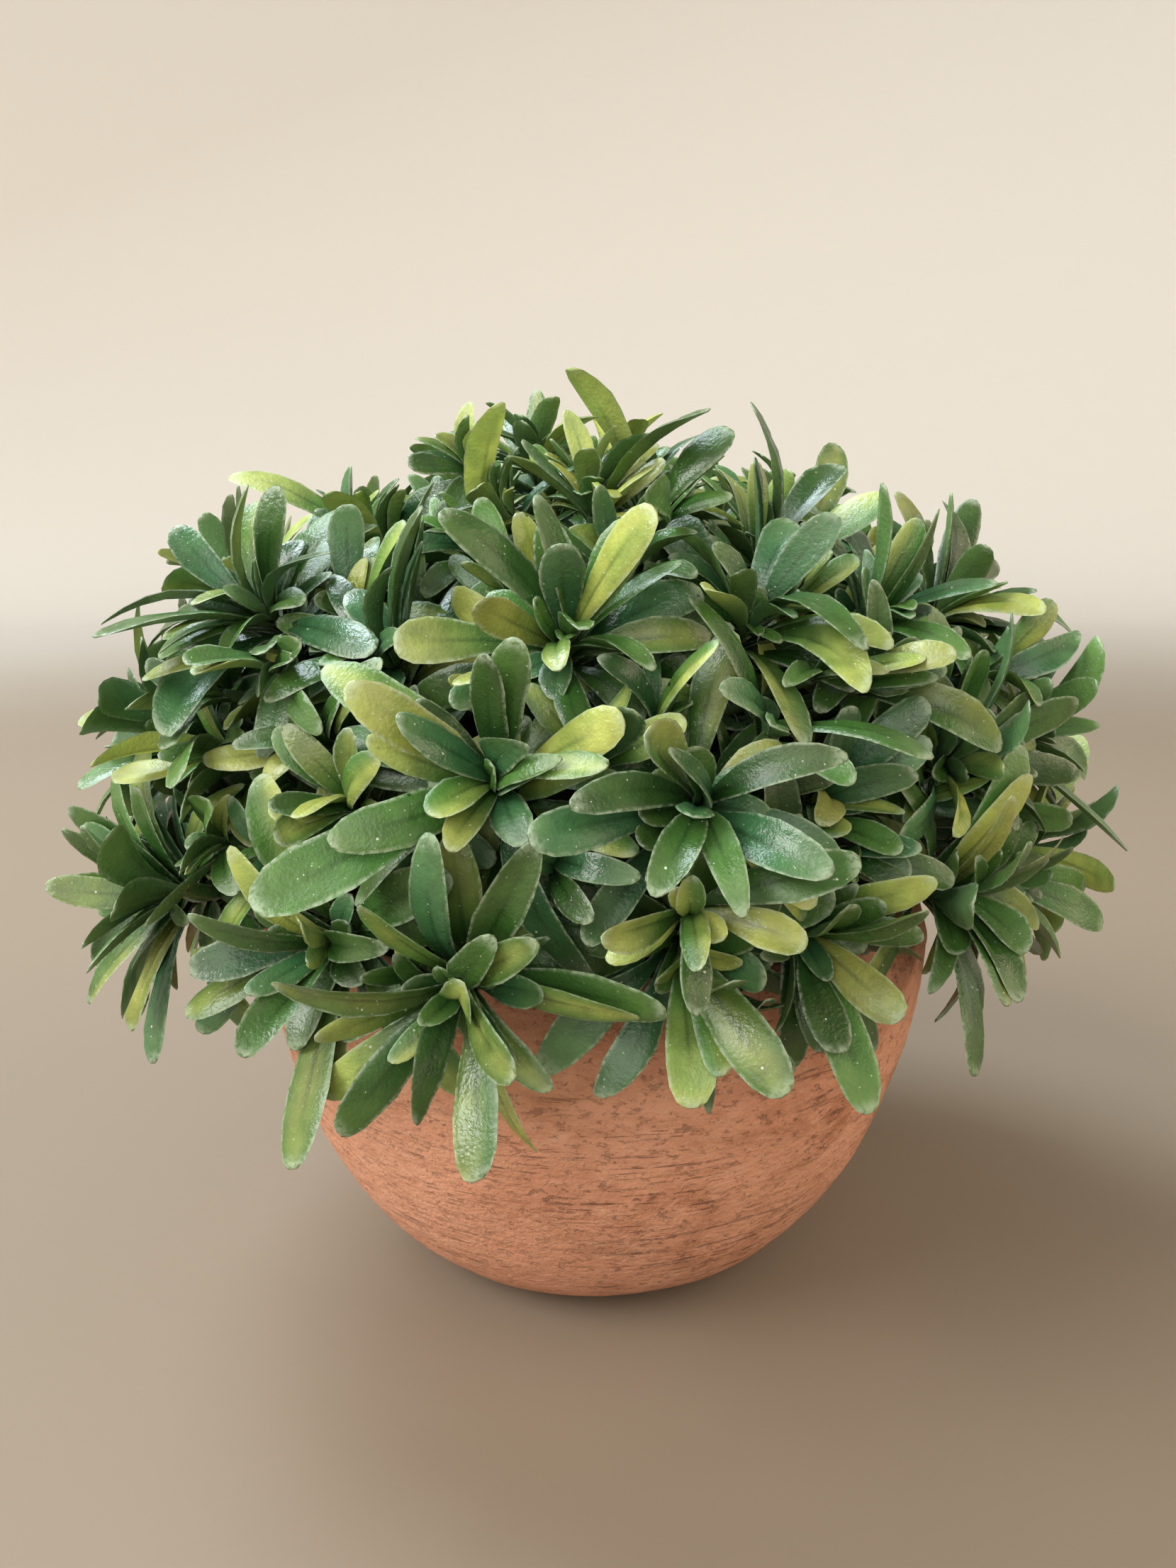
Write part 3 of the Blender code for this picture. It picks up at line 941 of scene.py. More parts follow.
    def draw_leaf(
        self, rng: random.Random, head: Head, whorl: Whorl, level: float, turn: float, attempt: int
    ) -> Leaf:
        """Draws one blade of a whorl. Later attempts stand nearer the head's axis and are shorter.

        Args:
            rng: where the draws come from.
            head: the head's (mass, centre, axis).
            whorl: the ring of leaves that the blade belongs to.
            level: the whorl's place along the axis, in whorl steps.
            turn: the blade's turn about the axis.
            attempt: how many draws have failed already.

        Returns:
            The blade.
        """
        _, centre, axis = head
        lift = self.raise_by * attempt * (whorl.lean[0] > self.upright)
        lean = math.radians(rng.uniform(*whorl.lean) - lift)
        length = rng.uniform(*whorl.length) * (1 - self.shrink * attempt) * self.top_share(axis)
        flat = axis.orthogonal().normalized()
        across = flat * math.cos(turn) + axis.cross(flat) * math.sin(turn)
        way = (axis * math.cos(lean) + across * math.sin(lean)).normalized()
        upper = (axis - way * axis.dot(way)).normalized()
        if upper.length < 0.5:
            upper = way.orthogonal().normalized()
        twist = rng.uniform(-self.twist, self.twist)
        upper = (upper * math.cos(twist) + way.cross(upper) * math.sin(twist)).normalized()
        root = centre + axis * (self.whorl_step * level)
        width, bend = length * rng.uniform(*whorl.width), rng.uniform(*self.bends)
        return Leaf(root, way, upper, length, width, bend, whorl.cut)

    def marked_leaf(self, head: Head, marker: Marker) -> Leaf:
        """The blade that a marker gives.

        Args:
            head: the marker's head, as (mass, centre, axis).
            marker: the marker.

        Returns:
            The blade.
        """
        _, centre, axis = head
        high = (Vector((0, 0, 1)) - axis * axis.z).normalized()
        hour, lean = math.radians(30 * marker.clock), math.radians(marker.lean)
        across = high * math.cos(hour) + high.cross(axis) * math.sin(hour)
        way = (axis * math.cos(lean) + across * math.sin(lean)).normalized()
        upper = (axis - way * axis.dot(way)).normalized()
        width = marker.length * self.marker_width
        return Leaf(centre.copy(), way, upper, marker.length, width, self.marker_bend, finish=marker.finish)

    def first_leaves(self, heads: list[Head]) -> list[Leaf]:
        """Grows the blades that the solids have, by the same draws.

        Args:
            heads: every head.

        Returns:
            The blades.
        """
        grown: list[Leaf] = []
        trees: dict[str, list[BVHTree]] = {name: [] for name in self.masses()}

        def keep(leaf: Leaf, number: int) -> bool:
            """Keeps a blade that stays in its mass's space, clears the pot and cuts through no other.

            Args:
                leaf: the blade.
                number: its head's number.

            Returns:
                True where it is kept.
            """
            name = heads[number][0]
            if not (self.inside_space(leaf, self.borders(name)) and self.clears_pot(leaf.edge_samples())):
                return False
            tree = leaf.tree()
            if any(tree.overlap(other) for other in trees[name]):
                return False
            leaf.head = number
            grown.append(leaf)
            trees[name].append(tree)
            return True

        for marker in self.markers:
            if not keep(self.marked_leaf(heads[marker.head], marker), marker.head):
                LOG.info("marker left out: %s", marker)
        for number, head in enumerate(heads):
            rng = random.Random(SEED * 1000 + number)
            first = rng.uniform(0, math.tau)
            for ring, whorl in enumerate(self.whorls):
                for index in range(whorl.count):
                    for attempt in range(self.tries):
                        scatter = rng.uniform(-self.scatter, self.scatter) * (1 + attempt)
                        turn = first + math.tau * (index + 0.5 * ring) / whorl.count + scatter
                        if keep(self.draw_leaf(rng, head, whorl, ring - 1, turn, attempt), number):
                            break
        return grown


@dataclass(frozen=True)
class Habit:
    """How far the blades of one cut may bend, as shares of their length or half width."""

    arch: tuple[float, float]
    curl: tuple[float, float]
    cup: tuple[float, float]
    twirl: float
    sweep: float
    taper: tuple[float, float] = (0.0, 0.0)
    drooping: float = 0.0
    droop: tuple[float, float] = (0.12, 0.3)

    def bend(self, leaf: Leaf, rng: random.Random, ease: float) -> Leaf:
        """Bends a leaf by new draws.

        Args:
            leaf: the leaf, which stays as it is.
            rng: where the draws come from.
            ease: a share of the full bend.

        Returns:
            A bent copy.
        """
        curl = rng.uniform(*self.curl)
        curl += rng.uniform(*self.droop) if rng.random() < self.drooping else 0.0
        return replace(
            leaf,
            arch=rng.uniform(*self.arch) * ease,
            curl=curl * ease,
            cup=rng.uniform(*self.cup) * ease,
            twirl=rng.gauss(0.0, self.twirl) * ease,
            sweep=rng.gauss(0.0, self.sweep) * ease,
            taper=rng.uniform(*self.taper),
        )


@dataclass
class Foliage:
    """All the crown's leaves: the solids' own, bent, the finer ones among them, and the side shoots'."""

    rule: CrownRule
    # How near a head a blade is noted there, the draws each one gets, and how these vary.
    near: float = 0.055
    tries: int = 7
    slimmer: float = 0.77
    scatter: float = 0.65
    marker_ease: float = 0.45
    # How low a finer leaf may hang, and how low a side shoot may stand.
    lowest: float = 0.053
    lowest_shoot: float = 0.0655
    habits: dict[Cut, Habit] = field(
        default_factory=lambda: {
            Cut.BLADE: Habit((0.02, 0.16), (-0.16, 0.10), (-0.10, 0.60), 0.50, 0.11, (-0.9, 0.45), 0.2),
            Cut.SPOON: Habit((0.00, 0.10), (-0.15, 0.15), (0.00, 0.50), 0.30, 0.05),
        }
    )
    finer: tuple[Whorl, ...] = (
        Whorl(5, (40.0, 74.0), (0.0085, 0.0128), (0.38, 0.47), Cut.SPOON, 1.4),
        Whorl(5, (34.0, 80.0), (0.0170, 0.0250), (0.21, 0.27), lift=0.2),
        Whorl(5, (14.0, 50.0), (0.0140, 0.0225), (0.22, 0.29), lift=1.0),
        Whorl(3, (8.0, 36.0), (0.0055, 0.0090), (0.46, 0.58), Cut.SPOON, 2.4),
        Whorl(5, (62.0, 96.0), (0.0160, 0.0225), (0.22, 0.29), lift=-2.0),
        Whorl(3, (84.0, 112.0), (0.0120, 0.0185), (0.24, 0.31), lift=-4.5),
        Whorl(3, (34.0, 76.0), (0.0190, 0.0265), (0.22, 0.28), lift=-6.5),
    )
    shoot_whorls: tuple[Whorl, ...] = (
        Whorl(5, (22.0, 74.0), (0.0135, 0.0205), (0.23, 0.30)),
        Whorl(4, (8.0, 44.0), (0.0105, 0.0180), (0.25, 0.33), lift=1.0),
        Whorl(3, (10.0, 50.0), (0.0060, 0.0095), (0.44, 0.56), Cut.SPOON, 2.0),
    )
    # The side shoots: how many each head tries, and where they stand from it.
    shoots_each: int = 5
    shoot_aside: tuple[float, float] = (0.0090, 0.0130)
    shoot_below: tuple[float, float] = (-0.0010, 0.0055)
    shoot_room: float = 0.0072
    shoot_tilt: float = 0.45

    def __post_init__(self) -> None:
        """Sets out the heads and the side shoots."""
        self.heads = self.rule.heads()
        self.shoots = self.side_shoots()
        self.spaces: list[list[Space]] = [[] for _ in self.heads + self.shoots]

    def side_shoots(self) -> list[Head]:
        """Sets out small heads between the large ones and a little below them.

        Returns:
            The small heads as (mass, centre, axis).
        """
        rng = random.Random(SEED + 3)
        shoots: list[Head] = []
        for name, centre, axis in self.heads:
            flat = axis.orthogonal().normalized()
            first = rng.uniform(0, math.tau)
            for index in range(self.shoots_each):
                turn = first + math.tau * index / self.shoots_each
                across = flat * math.cos(turn) + axis.cross(flat) * math.sin(turn)
                place = centre + across * rng.uniform(*self.shoot_aside)
                place -= axis * rng.uniform(*self.shoot_below)
                others = self.heads + shoots
                crowded = any((place - other).length < self.shoot_room for _, other, _ in others)
                if not crowded and place.z > self.lowest_shoot:
                    shoots.append((name, place, (axis + across * self.shoot_tilt).normalized()))
        return shoots

    def grow(self) -> list[Leaf]:
        """Grows the crown. A finer leaf may reach into the next mass's room.

        Returns:
            All its leaves.
        """
        leaves = []
        rng = random.Random(SEED + 1)
        for leaf in self.rule.first_leaves(self.heads):
            leaf.width *= self.slimmer
            bent, space = self.fit(leaf, rng)
            leaves.append(bent)
            self.note(bent, space)
        for number, head in enumerate(self.heads + self.shoots):
            rng = random.Random(SEED * 2000 + number)
            for whorl in self.finer if number < len(self.heads) else self.shoot_whorls:
                leaves += self.fill(number, head, whorl, rng)
        return leaves

    def fit(self, leaf: Leaf, rng: random.Random) -> tuple[Leaf, Space]:
        """Bends a leaf of the solids so that it crosses no other, or as little as can be.

        Args:
            leaf: the leaf.
            rng: where the draws come from.

        Returns:
            The bent leaf and its room.
        """
        most = self.marker_ease if leaf.finish else 1.0
        for attempt in range(self.tries):
            bent = self.habits[leaf.cut].bend(leaf, rng, most * (1 - attempt / self.tries))
            space = Space(bent.bent_rows())
            if self.is_free(leaf.head, space):
                break
        return bent, space

    def fill(self, number: int, head: Head, whorl: Whorl, rng: random.Random) -> list[Leaf]:
        """Grows one finer whorl on a head, where there is room for its leaves.

        Args:
            number: the head's number.
            head: the head.
            whorl: the ring of leaves.
            rng: where the draws come from.

        Returns:
            The leaves.
        """
        grown = []
        first = rng.uniform(0, math.tau)
        for index in range(whorl.count):
            for attempt in range(self.tries):
                turn = first + math.tau * index / whorl.count
                turn += rng.uniform(-self.scatter, self.scatter) * (1 + attempt)
                leaf = self.rule.draw_leaf(rng, head, whorl, whorl.lift, turn, attempt)
                leaf.head = number
                bent = self.habits[whorl.cut].bend(leaf, rng, 1.0)
                space = Space(bent.bent_rows())
                if self.is_free(number, space) and min(point.z for point in space.points) > self.lowest:
                    grown.append(bent)
                    self.note(bent, space)
                    break
        return grown

    def is_free(self, number: int, space: Space) -> bool:
        """Whether a blade clears the pot and every blade noted at its head.

        Args:
            number: the head's number.
            space: the blade's room.

        Returns:
            True where it does.
        """
        if not self.rule.clears_pot(space.points):
            return False
        return not any(space.meets(other) for other in self.spaces[number])

    def note(self, leaf: Leaf, space: Space) -> None:
        """Lists a leaf's room under every head that it stands near.

        Args:
            leaf: the leaf.
            space: its room.
        """
        for number, (_, centre, _) in enumerate(self.heads + self.shoots):
            if (centre - leaf.root).length < self.near:
                self.spaces[number].append(space)


# ---------------------------------------------------------------- leaves as meshes


@dataclass
class LeafBlank:
    """A leaf in unit sizes, X along it and Y across: a closed blade with a groove down its upper side."""

    cut: Cut
    widest: float
    neck: float
    swell: float
    shank_stations: int = 4
    end_stations: int = 4

    # Across the blade, from one rim over the upper side to the other and back underneath: (share, height).
    RING = ((1.0, 0.28), (0.62, 0.82), (0.0, 0.40), (-0.62, 0.82), (-1.0, 0.28), (0.0, -0.24))
    UPPER_SIDES = 4
    ROUNDNESS = 2.6
    BLUNT = 0.14
    # How thick the blade is at its root and its tip, as a share, and how fast it thickens from there.
    ROOT_THICKNESS = (0.6, 1.2)
    TIP_THICKNESS = (0.35, 4.0)

    def stations(self) -> list[tuple[float, float]]:
        """Where the rings stand and how wide they are: a shank and a round end.

        Returns:
            The stations, as (along, half width).
        """
        rows = []
        for step in range(self.shank_stations):
            share = step / self.shank_stations
            half = self.neck + (1 - self.neck) * math.sin(share * math.pi / 2) ** self.swell
            rows.append((self.widest * share, half))
        for step in range(self.end_stations + 1):
            angle = math.pi / 2 * step / self.end_stations
            half = max(self.BLUNT, math.cos(angle)) ** (2 / self.ROUNDNESS)
            rows.append((self.widest + (1 - self.widest) * math.sin(angle), half))
        return rows

    def thickness(self, along: float) -> float:
        """The blade's thickness at a share of its length, as a share of its most."""
        (root, swell), (tip, taper) = self.ROOT_THICKNESS, self.TIP_THICKNESS
        return min(1.0, root + swell * along, tip + taper * (1 - along))

    def build(self) -> bpy.types.Object:
        """Builds the blank with its across and under attributes and crisp rims.

        Returns:
            The blank, hidden from the render.
        """
        count = len(self.RING)
        points, across, faces, under = [], [], [], []
        rows = self.stations()
        for along, half in rows:
            for share, height in self.RING:
                points.append((along, share * half, height * self.thickness(along)))
                across.append(share)
        for station in range(len(rows) - 1):
            for side in range(count):
                a, b = station * count + side, station * count + (side + 1) % count
                faces.append((a, a + count, b + count, b))
                under.append(float(side >= self.UPPER_SIDES))
        for ring, turn in ((0, 1), ((len(rows) - 1) * count, -1)):
            faces.append(tuple(range(ring, ring + count))[::turn])
            under.append(0.0)
        mesh = mesh_of(f"{self.cut.value}_blank", points, faces)
        mesh.attributes.new("across", "FLOAT", "POINT").data.foreach_set("value", across)
        mesh.attributes.new("under", "FLOAT", "FACE").data.foreach_set("value", under)
        for edge in mesh.edges:
            edge.use_edge_sharp = all(abs(across[corner]) == 1.0 for corner in edge.vertices)
        obj = link(mesh.name, mesh)
        obj.hide_render = True
        return obj


@dataclass
class LeafSeats:
    """The points that leaves are set on, each with the numbers that shape its leaf."""

    leaves: list[Leaf]

    SHAPE = ("length", "width", "bend", "arch", "curl", "cup", "twirl", "sweep", "taper")
    VECTORS = ("root", "way", "upper")
    KEPT_OUT = (*SHAPE, *VECTORS, "shade", "flip", "across", "under", "size")

    def build(self, name: str) -> bpy.types.Object:
        """Lists the leaves' numbers as attributes.

        Args:
            name: the object's name, which also seeds the leaves' shades.

        Returns:
            An object with one vertex for each leaf, at the origin.
        """
        mesh = mesh_of(name, [Vector()] * len(self.leaves), [])
        rng = random.Random(name)
        values = {key: [getattr(leaf, key) for leaf in self.leaves] for key in self.SHAPE}
        values["shade"] = [float(rng.randrange(LeafPaint.BANDS)) for _ in self.leaves]
        values["flip"] = [rng.choice((-1.0, 1.0)) for _ in self.leaves]
        for key, row in values.items():
            mesh.attributes.new(key, "FLOAT", "POINT").data.foreach_set("value", row)
        for key in self.VECTORS:
            row = [number for leaf in self.leaves for number in getattr(leaf, key)]
            mesh.attributes.new(key, "FLOAT_VECTOR", "POINT").data.foreach_set("vector", row)
        return link(name, mesh)


@dataclass
class LeafGrower:
    """Sets a blank on every seat and bends it to the seat's numbers, by Geometry Nodes."""

    blank: bpy.types.Object
    material: bpy.types.Material
    thickness: float = 0.00095
    waves: float = 5.0
    waver_seed: float = 900.0
    waver_share: float = 0.34

    def build(self, leaves: list[Leaf], name: str) -> bpy.types.Object:
        """Grows the leaves as one plain mesh.

        Args:
            leaves: the leaves of one cut and one finish.
            name: the piece's name.

        Returns:
            The piece.
        """
        grower = Grower(f"{name}_rule")
        sheet = grower.sheet
        blank = grower.given("Blank", "Object", self.blank)
        thickness = grower.given("Thickness", "Float", self.thickness)
        material = grower.given("Material", "Material", self.material)
        shape = sheet.add("GeometryNodeObjectInfo", {"Object": blank}).outputs["Geometry"]
        placed = sheet.add("GeometryNodeInstanceOnPoints", {"Points": grower.geometry(), "Instance": shape})
        real = sheet.add("GeometryNodeRealizeInstances", {"Geometry": placed.outputs[0]}).outputs[0]
        feeds = {"Geometry": real, "Position": self.bend(grower, thickness)}
        bent = sheet.add("GeometryNodeSetPosition", feeds).outputs[0]
        grower.close(self.map(grower, bent), material)
        return grower.grow(LeafSeats(leaves).build(f"{name}_seats"), name)

    def bend(self, grower: Grower, thickness: Socket) -> Socket:
        """Works out where each of a blank's points goes on its own leaf.

        Args:
            grower: the leaves' tree.
            thickness: the blades' thickness.

        Returns:
            The place.
        """
        sheet, math_ = grower.sheet, grower.sheet.math
        unit = sheet.add("ShaderNodeSeparateXYZ", {0: sheet.add("GeometryNodeInputPosition").outputs[0]})
        along, across, rise = unit.outputs[0], unit.outputs[1], unit.outputs[2]
        length, way, upper = grower.read("length"), grower.read_vector("way"), grower.read_vector("upper")
        square = math_("MULTIPLY", along, along)
        taper = math_("MULTIPLY_ADD", grower.read("taper"), math_("SUBTRACT", Leaf.WIDEST_AT, along), 1.0)
        half = sheet.product(grower.read("width"), 0.5, across, taper, self.waver(grower, along, across))
        turn = math_("MULTIPLY", grower.read("twirl"), along)
        droop = sheet.product(grower.read("curl"), square, square)
        droop = math_("MULTIPLY_ADD", grower.read("bend"), square, droop)
        hump = math_("MULTIPLY", math_("SUBTRACT", along, square), 4.0)
        droop = math_("SUBTRACT", droop, math_("MULTIPLY", grower.read("arch"), hump))
        cupped = sheet.product(grower.read("cup"), math_("ABSOLUTE", across), math_("ABSOLUTE", half))
        lift = math_("MULTIPLY_ADD", rise, thickness, cupped)
        lift = math_("SUBTRACT", lift, math_("MULTIPLY", length, droop))
        lift = math_("MULTIPLY_ADD", half, math_("SINE", turn), lift)
        swing = sheet.product(grower.read("sweep"), length, square)
        swing = math_("MULTIPLY_ADD", half, math_("COSINE", turn), swing)
        place = grower.read_vector("root")
        side = sheet.vector("CROSS_PRODUCT", way, upper)
        for arrow, reach in ((way, math_("MULTIPLY", length, along)), (side, swing), (upper, lift)):
            place = sheet.vector("ADD", place, sheet.vector("SCALE", arrow, reach))
        return place

    def waver(self, grower: Grower, along: Socket, across: Socket) -> Socket:
        """Makes each rim waver in its own way, as soft mouldings do.

        Args:
            grower: the leaves' tree.
            along: a point's share of the length.
            across: its share of the half width.

        Returns:
            A factor for the width.
        """
        sheet, math_ = grower.sheet, grower.sheet.math
        own = sheet.vector("SCALE", grower.read_vector("root"), self.waver_seed)
        feeds = {0: math_("MULTIPLY", along, self.waves), 1: math_("SIGN", across)}
        place = sheet.vector("ADD", own, sheet.add("ShaderNodeCombineXYZ", feeds).outputs[0])
        wave = sheet.add("ShaderNodeTexNoise", {"Vector": place, "Scale": 1.0, "Detail": 1.0}).outputs[0]
        return math_("MULTIPLY_ADD", math_("SUBTRACT", wave, 0.5), self.waver_share, 1.0)

    def map(self, grower: Grower, geometry: Socket) -> Socket:
        """Maps each leaf: U along it, the under side past the upper, and V across it in its shade's band.

        Args:
            grower: the leaves' tree.
            geometry: the bent leaves.

        Returns:
            The leaves with their map.
        """
        sheet, math_ = grower.sheet, grower.sheet.math
        position = sheet.add("GeometryNodeInputPosition").outputs[0]
        away = sheet.vector("SUBTRACT", position, grower.read_vector("root"))
        feeds = {0: away, 1: grower.read_vector("way")}
        dot = sheet.add("ShaderNodeVectorMath", feeds, operation="DOT_PRODUCT").outputs["Value"]
        along = math_("DIVIDE", dot, grower.read("length"))
        along = sheet.add("ShaderNodeClamp", {"Value": along, "Min": 0.0, "Max": 1.0}).outputs[0]
        along = math_("MULTIPLY_ADD", along, LeafPaint.SPAN, LeafPaint.MARGIN)
        across = math_("MULTIPLY", grower.read("across"), grower.read("flip"))
        across = math_("MULTIPLY_ADD", across, LeafPaint.HALF_BAND, 0.5)
        u = math_("DIVIDE", math_("ADD", along, grower.read("under")), 2.0)
        v = math_("DIVIDE", math_("ADD", grower.read("shade"), across), float(LeafPaint.BANDS))
        value = sheet.add("ShaderNodeCombineXYZ", {0: u, 1: v}).outputs[0]
        feeds = {"Geometry": geometry, "Name": LeafPaint.MAP, "Value": value}
        kind = {"data_type": "FLOAT2", "domain": "CORNER"}
        return sheet.add("GeometryNodeStoreNamedAttribute", feeds, **kind).outputs[0]


# ---------------------------------------------------------------- the leaves' finish


class Flush(Enum):
    """Where the yellow lies on a leaf."""

    NONE = "none"
    TIP = "tip"
    SIDE = "side"
    RIDGE = "ridge"
    WHOLE = "whole"


@dataclass(frozen=True)
class Specks:
    """Tiny spots: cells per metre, how rare they are, their size in cells, their colour and strength."""

    cells: float
    rarity: float
    size: float
    tint: Colour
    strength: float


@dataclass(frozen=True)
class LeafPaint:
    """One leaf finish: satin moulded plastic, green, with a yellow flush sprayed on part of each leaf."""

    name: str
    share: float
    green: tuple[float, float, float]
    yellow: tuple[float, float, float] = (0.278, 0.330, 0.074)
    flush: Flush = Flush.NONE
    strength: float = 0.9
    roughness: float = 0.25
    # How much brighter the under side is painted: a painted glow standing in for light through the leaf.
    painted_back_glow: float = 0.5

    # The map: its name, its bands of shade, and the room that a leaf takes in its half and its band.
    MAP = "OFBake"
    BANDS = 4
    SPAN = 0.96
    MARGIN = 0.02
    HALF_BAND = 0.46

    SPECULAR = 0.54
    FROST = (0.42, 0.50, 0.36, 1.0)
    PAINTED_GLINT = (0.66, 0.73, 0.62, 1.0)
    BACK = (0.14, 0.22, 0.09, 1.0)
    SHADOW = (0.008, 0.028, 0.005, 1.0)
    BLACK = (0.012, 0.016, 0.01, 1.0)
    # The two pale kinds are painted glints, tiny highlights put in the colour; the black kind are specks.
    SPECKS = (
        Specks(1300, 0.80, 0.16, PAINTED_GLINT, 0.5),
        Specks(700, 0.93, 0.14, PAINTED_GLINT, 0.7),
        Specks(240, 0.86, 0.07, BLACK, 0.8),
    )
    SPECK_CORE = 0.6

    WRINKLES = Cloud(260, 3, rough=0.6)
    BLOTCHES = Cloud(150, 1)
    CRUMBS = Cloud(1300, 1)
    GRAIN = Cloud(1900, 2, rough=0.6)
    BAND_SHADES = Step(0.0, BANDS - 1.0, 0.78, 1.25)
    WRINKLE_SHADES = Step(0.32, 0.68, 0.84, 1.16)
    GROOVE_SHADE = Step(0.0, 0.20, 0.45, 0.0)
    GROOVE_END = Step(0.6, 0.92, 1.0, 0.0)
    ROOT_SHADE = Step(0.0, 0.58, 0.97, 0.0)
    BACK_SHARE = 0.30

    # Where the flush lies, along the leaf, across it or away from its middle, and how it breaks up.
    FAINT = 0.10
    PLAIN_ALONG = (0.45, 1.0)
    TIP_ALONG = (0.38, 1.0)
    SIDE_ACROSS = (-0.75, 1.0)
    SIDE_ALONG = Step(0.15, 0.80)
    RIDGE_ASIDE = (0.10, 1.0)
    RIDGE_RIM = 0.15
    RIDGE_ALONG = Step(0.25, 0.75)
    WHOLE_ALONG = (0.0, 0.6)
    WHOLE_ROOT = 0.20
    FLUSH_BREAKS = Step(0.30, 0.62, 0.5, 1.2)

    # The pale fuzz on the rims and round the tip.
    FROST_SHARE = 0.52
    FROST_RIM = Step(0.80, 0.98)
    FROST_TIP = Step(0.93, 1.0)
    RIM_CRUMBS = Step(0.36, 0.62, 0.20, 1.0)
    TIP_CRUMBS = Step(0.34, 0.54, 0.3, 1.0)

    # How the gloss and the relief vary.
    SATIN = (0.34, 0.66)
    DULLER = 0.18
    FROST_DULLER = 0.25
    WRINKLE_SHARE = 1.3
    RELIEF = 0.00012
    RELIEF_STRENGTH = 0.85

    def flush_share(self, paint: Paint, along: Socket, across: Socket) -> Socket:
        """How much of the yellow shows at a place on the leaf, before it is broken up.

        Args:
            paint: the finish's sheet.
            along: how far along the leaf the place is.
            across: how far across it.

        Returns:
            The share of yellow.
        """
        if self.flush is Flush.TIP:
            return paint.step(along, Step(*self.TIP_ALONG, 0.0, self.strength))
        if self.flush is Flush.SIDE:
            side = paint.step(across, Step(*self.SIDE_ACROSS, 0.0, self.strength))
            return paint.product(side, paint.step(along, self.SIDE_ALONG))
        if self.flush is Flush.RIDGE:
            aside = paint.math("ABSOLUTE", across)
            ridge = paint.step(aside, Step(*self.RIDGE_ASIDE, self.strength, self.RIDGE_RIM))
            return paint.product(ridge, paint.step(along, self.RIDGE_ALONG))
        if self.flush is Flush.WHOLE:
            return paint.step(along, Step(*self.WHOLE_ALONG, self.WHOLE_ROOT, self.strength))
        return paint.step(along, Step(*self.PLAIN_ALONG, 0.0, self.FAINT))

    def place(self, paint: Paint) -> tuple[Socket, Socket, Socket, Socket]:
        """Reads the leaf's map.

        Args:
            paint: the finish's sheet.

        Returns:
            How far along the leaf a place is, how far across it, whether it is underneath, and its band.
        """
        uv = paint.add("ShaderNodeUVMap", uv_map=self.MAP).outputs[0]
        uv = paint.add("ShaderNodeSeparateXYZ", {0: uv}).outputs
        double, row = paint.product(uv[0], 2.0), paint.product(uv[1], float(self.BANDS))
        along = paint.math("SUBTRACT", paint.math("FRACT", double), self.MARGIN)
        along = paint.math("DIVIDE", along, self.SPAN)
        across = paint.math("SUBTRACT", paint.math("FRACT", row), 0.5)
        across = paint.math("DIVIDE", across, self.HALF_BAND)
        return along, across, paint.math("GREATER_THAN", double, 1.0), paint.math("FLOOR", row)

    def dress(self) -> bpy.types.Material:
        """Mixes the finish.

        Returns:
            The finish.
        """
        paint = Paint(self.name, self.roughness, specular=self.SPECULAR)
        along, across, under, band = self.place(paint)
        aside = paint.math("ABSOLUTE", across)
        wrinkles, blotches = paint.cloud(self.WRINKLES), paint.cloud(self.BLOTCHES)
        flush = self.flush_share(paint, along, across)
        flush = paint.product(flush, paint.step(blotches, self.FLUSH_BREAKS))
        colour = paint.mix(flush, (*self.green, 1.0), (*self.yellow, 1.0))
        shade = paint.product(paint.step(band, self.BAND_SHADES), paint.step(wrinkles, self.WRINKLE_SHADES))
        colour = paint.vector("SCALE", colour, shade)
        groove = paint.product(paint.step(aside, self.GROOVE_SHADE), paint.step(along, self.GROOVE_END))
        colour = paint.mix(groove, colour, self.SHADOW)
        colour = paint.mix(paint.step(along, self.ROOT_SHADE), colour, self.SHADOW)
        colour = paint.mix(paint.product(under, self.BACK_SHARE), colour, self.BACK)
        # Painted glow: the under side is brightened, standing in for light shining through the leaf.
        colour = paint.vector("SCALE", colour, paint.math("MULTIPLY_ADD", under, self.painted_back_glow, 1.0))
        frost = self.frost(paint, along, aside)
        colour = paint.mix(paint.product(frost, self.FROST_SHARE), colour, self.FROST)
        height = paint.math("MULTIPLY_ADD", wrinkles, self.WRINKLE_SHARE, paint.cloud(self.GRAIN))
        normal = paint.bump(height, self.RELIEF, self.RELIEF_STRENGTH)
        satin = paint.step(blotches, Step(*self.SATIN, self.roughness, self.roughness + self.DULLER))
        gloss = paint.math("MULTIPLY_ADD", frost, self.FROST_DULLER, satin)
        return paint.finish(self.speckle(paint, colour), gloss, normal)

    def frost(self, paint: Paint, along: Socket, aside: Socket) -> Socket:
        """The pale fuzz on the rim, broken up along the sides and fuller round the tip.

        Args:
            paint: the finish's sheet.
            along: how far along the leaf a place is.
            aside: how far it is from the leaf's middle.

        Returns:
            The share of fuzz.
        """
        crumbs = paint.cloud(self.CRUMBS)
        rim = paint.product(paint.step(aside, self.FROST_RIM), paint.step(crumbs, self.RIM_CRUMBS))
        tip = paint.product(paint.step(along, self.FROST_TIP), paint.step(crumbs, self.TIP_CRUMBS))
        return paint.math("MAXIMUM", rim, tip)

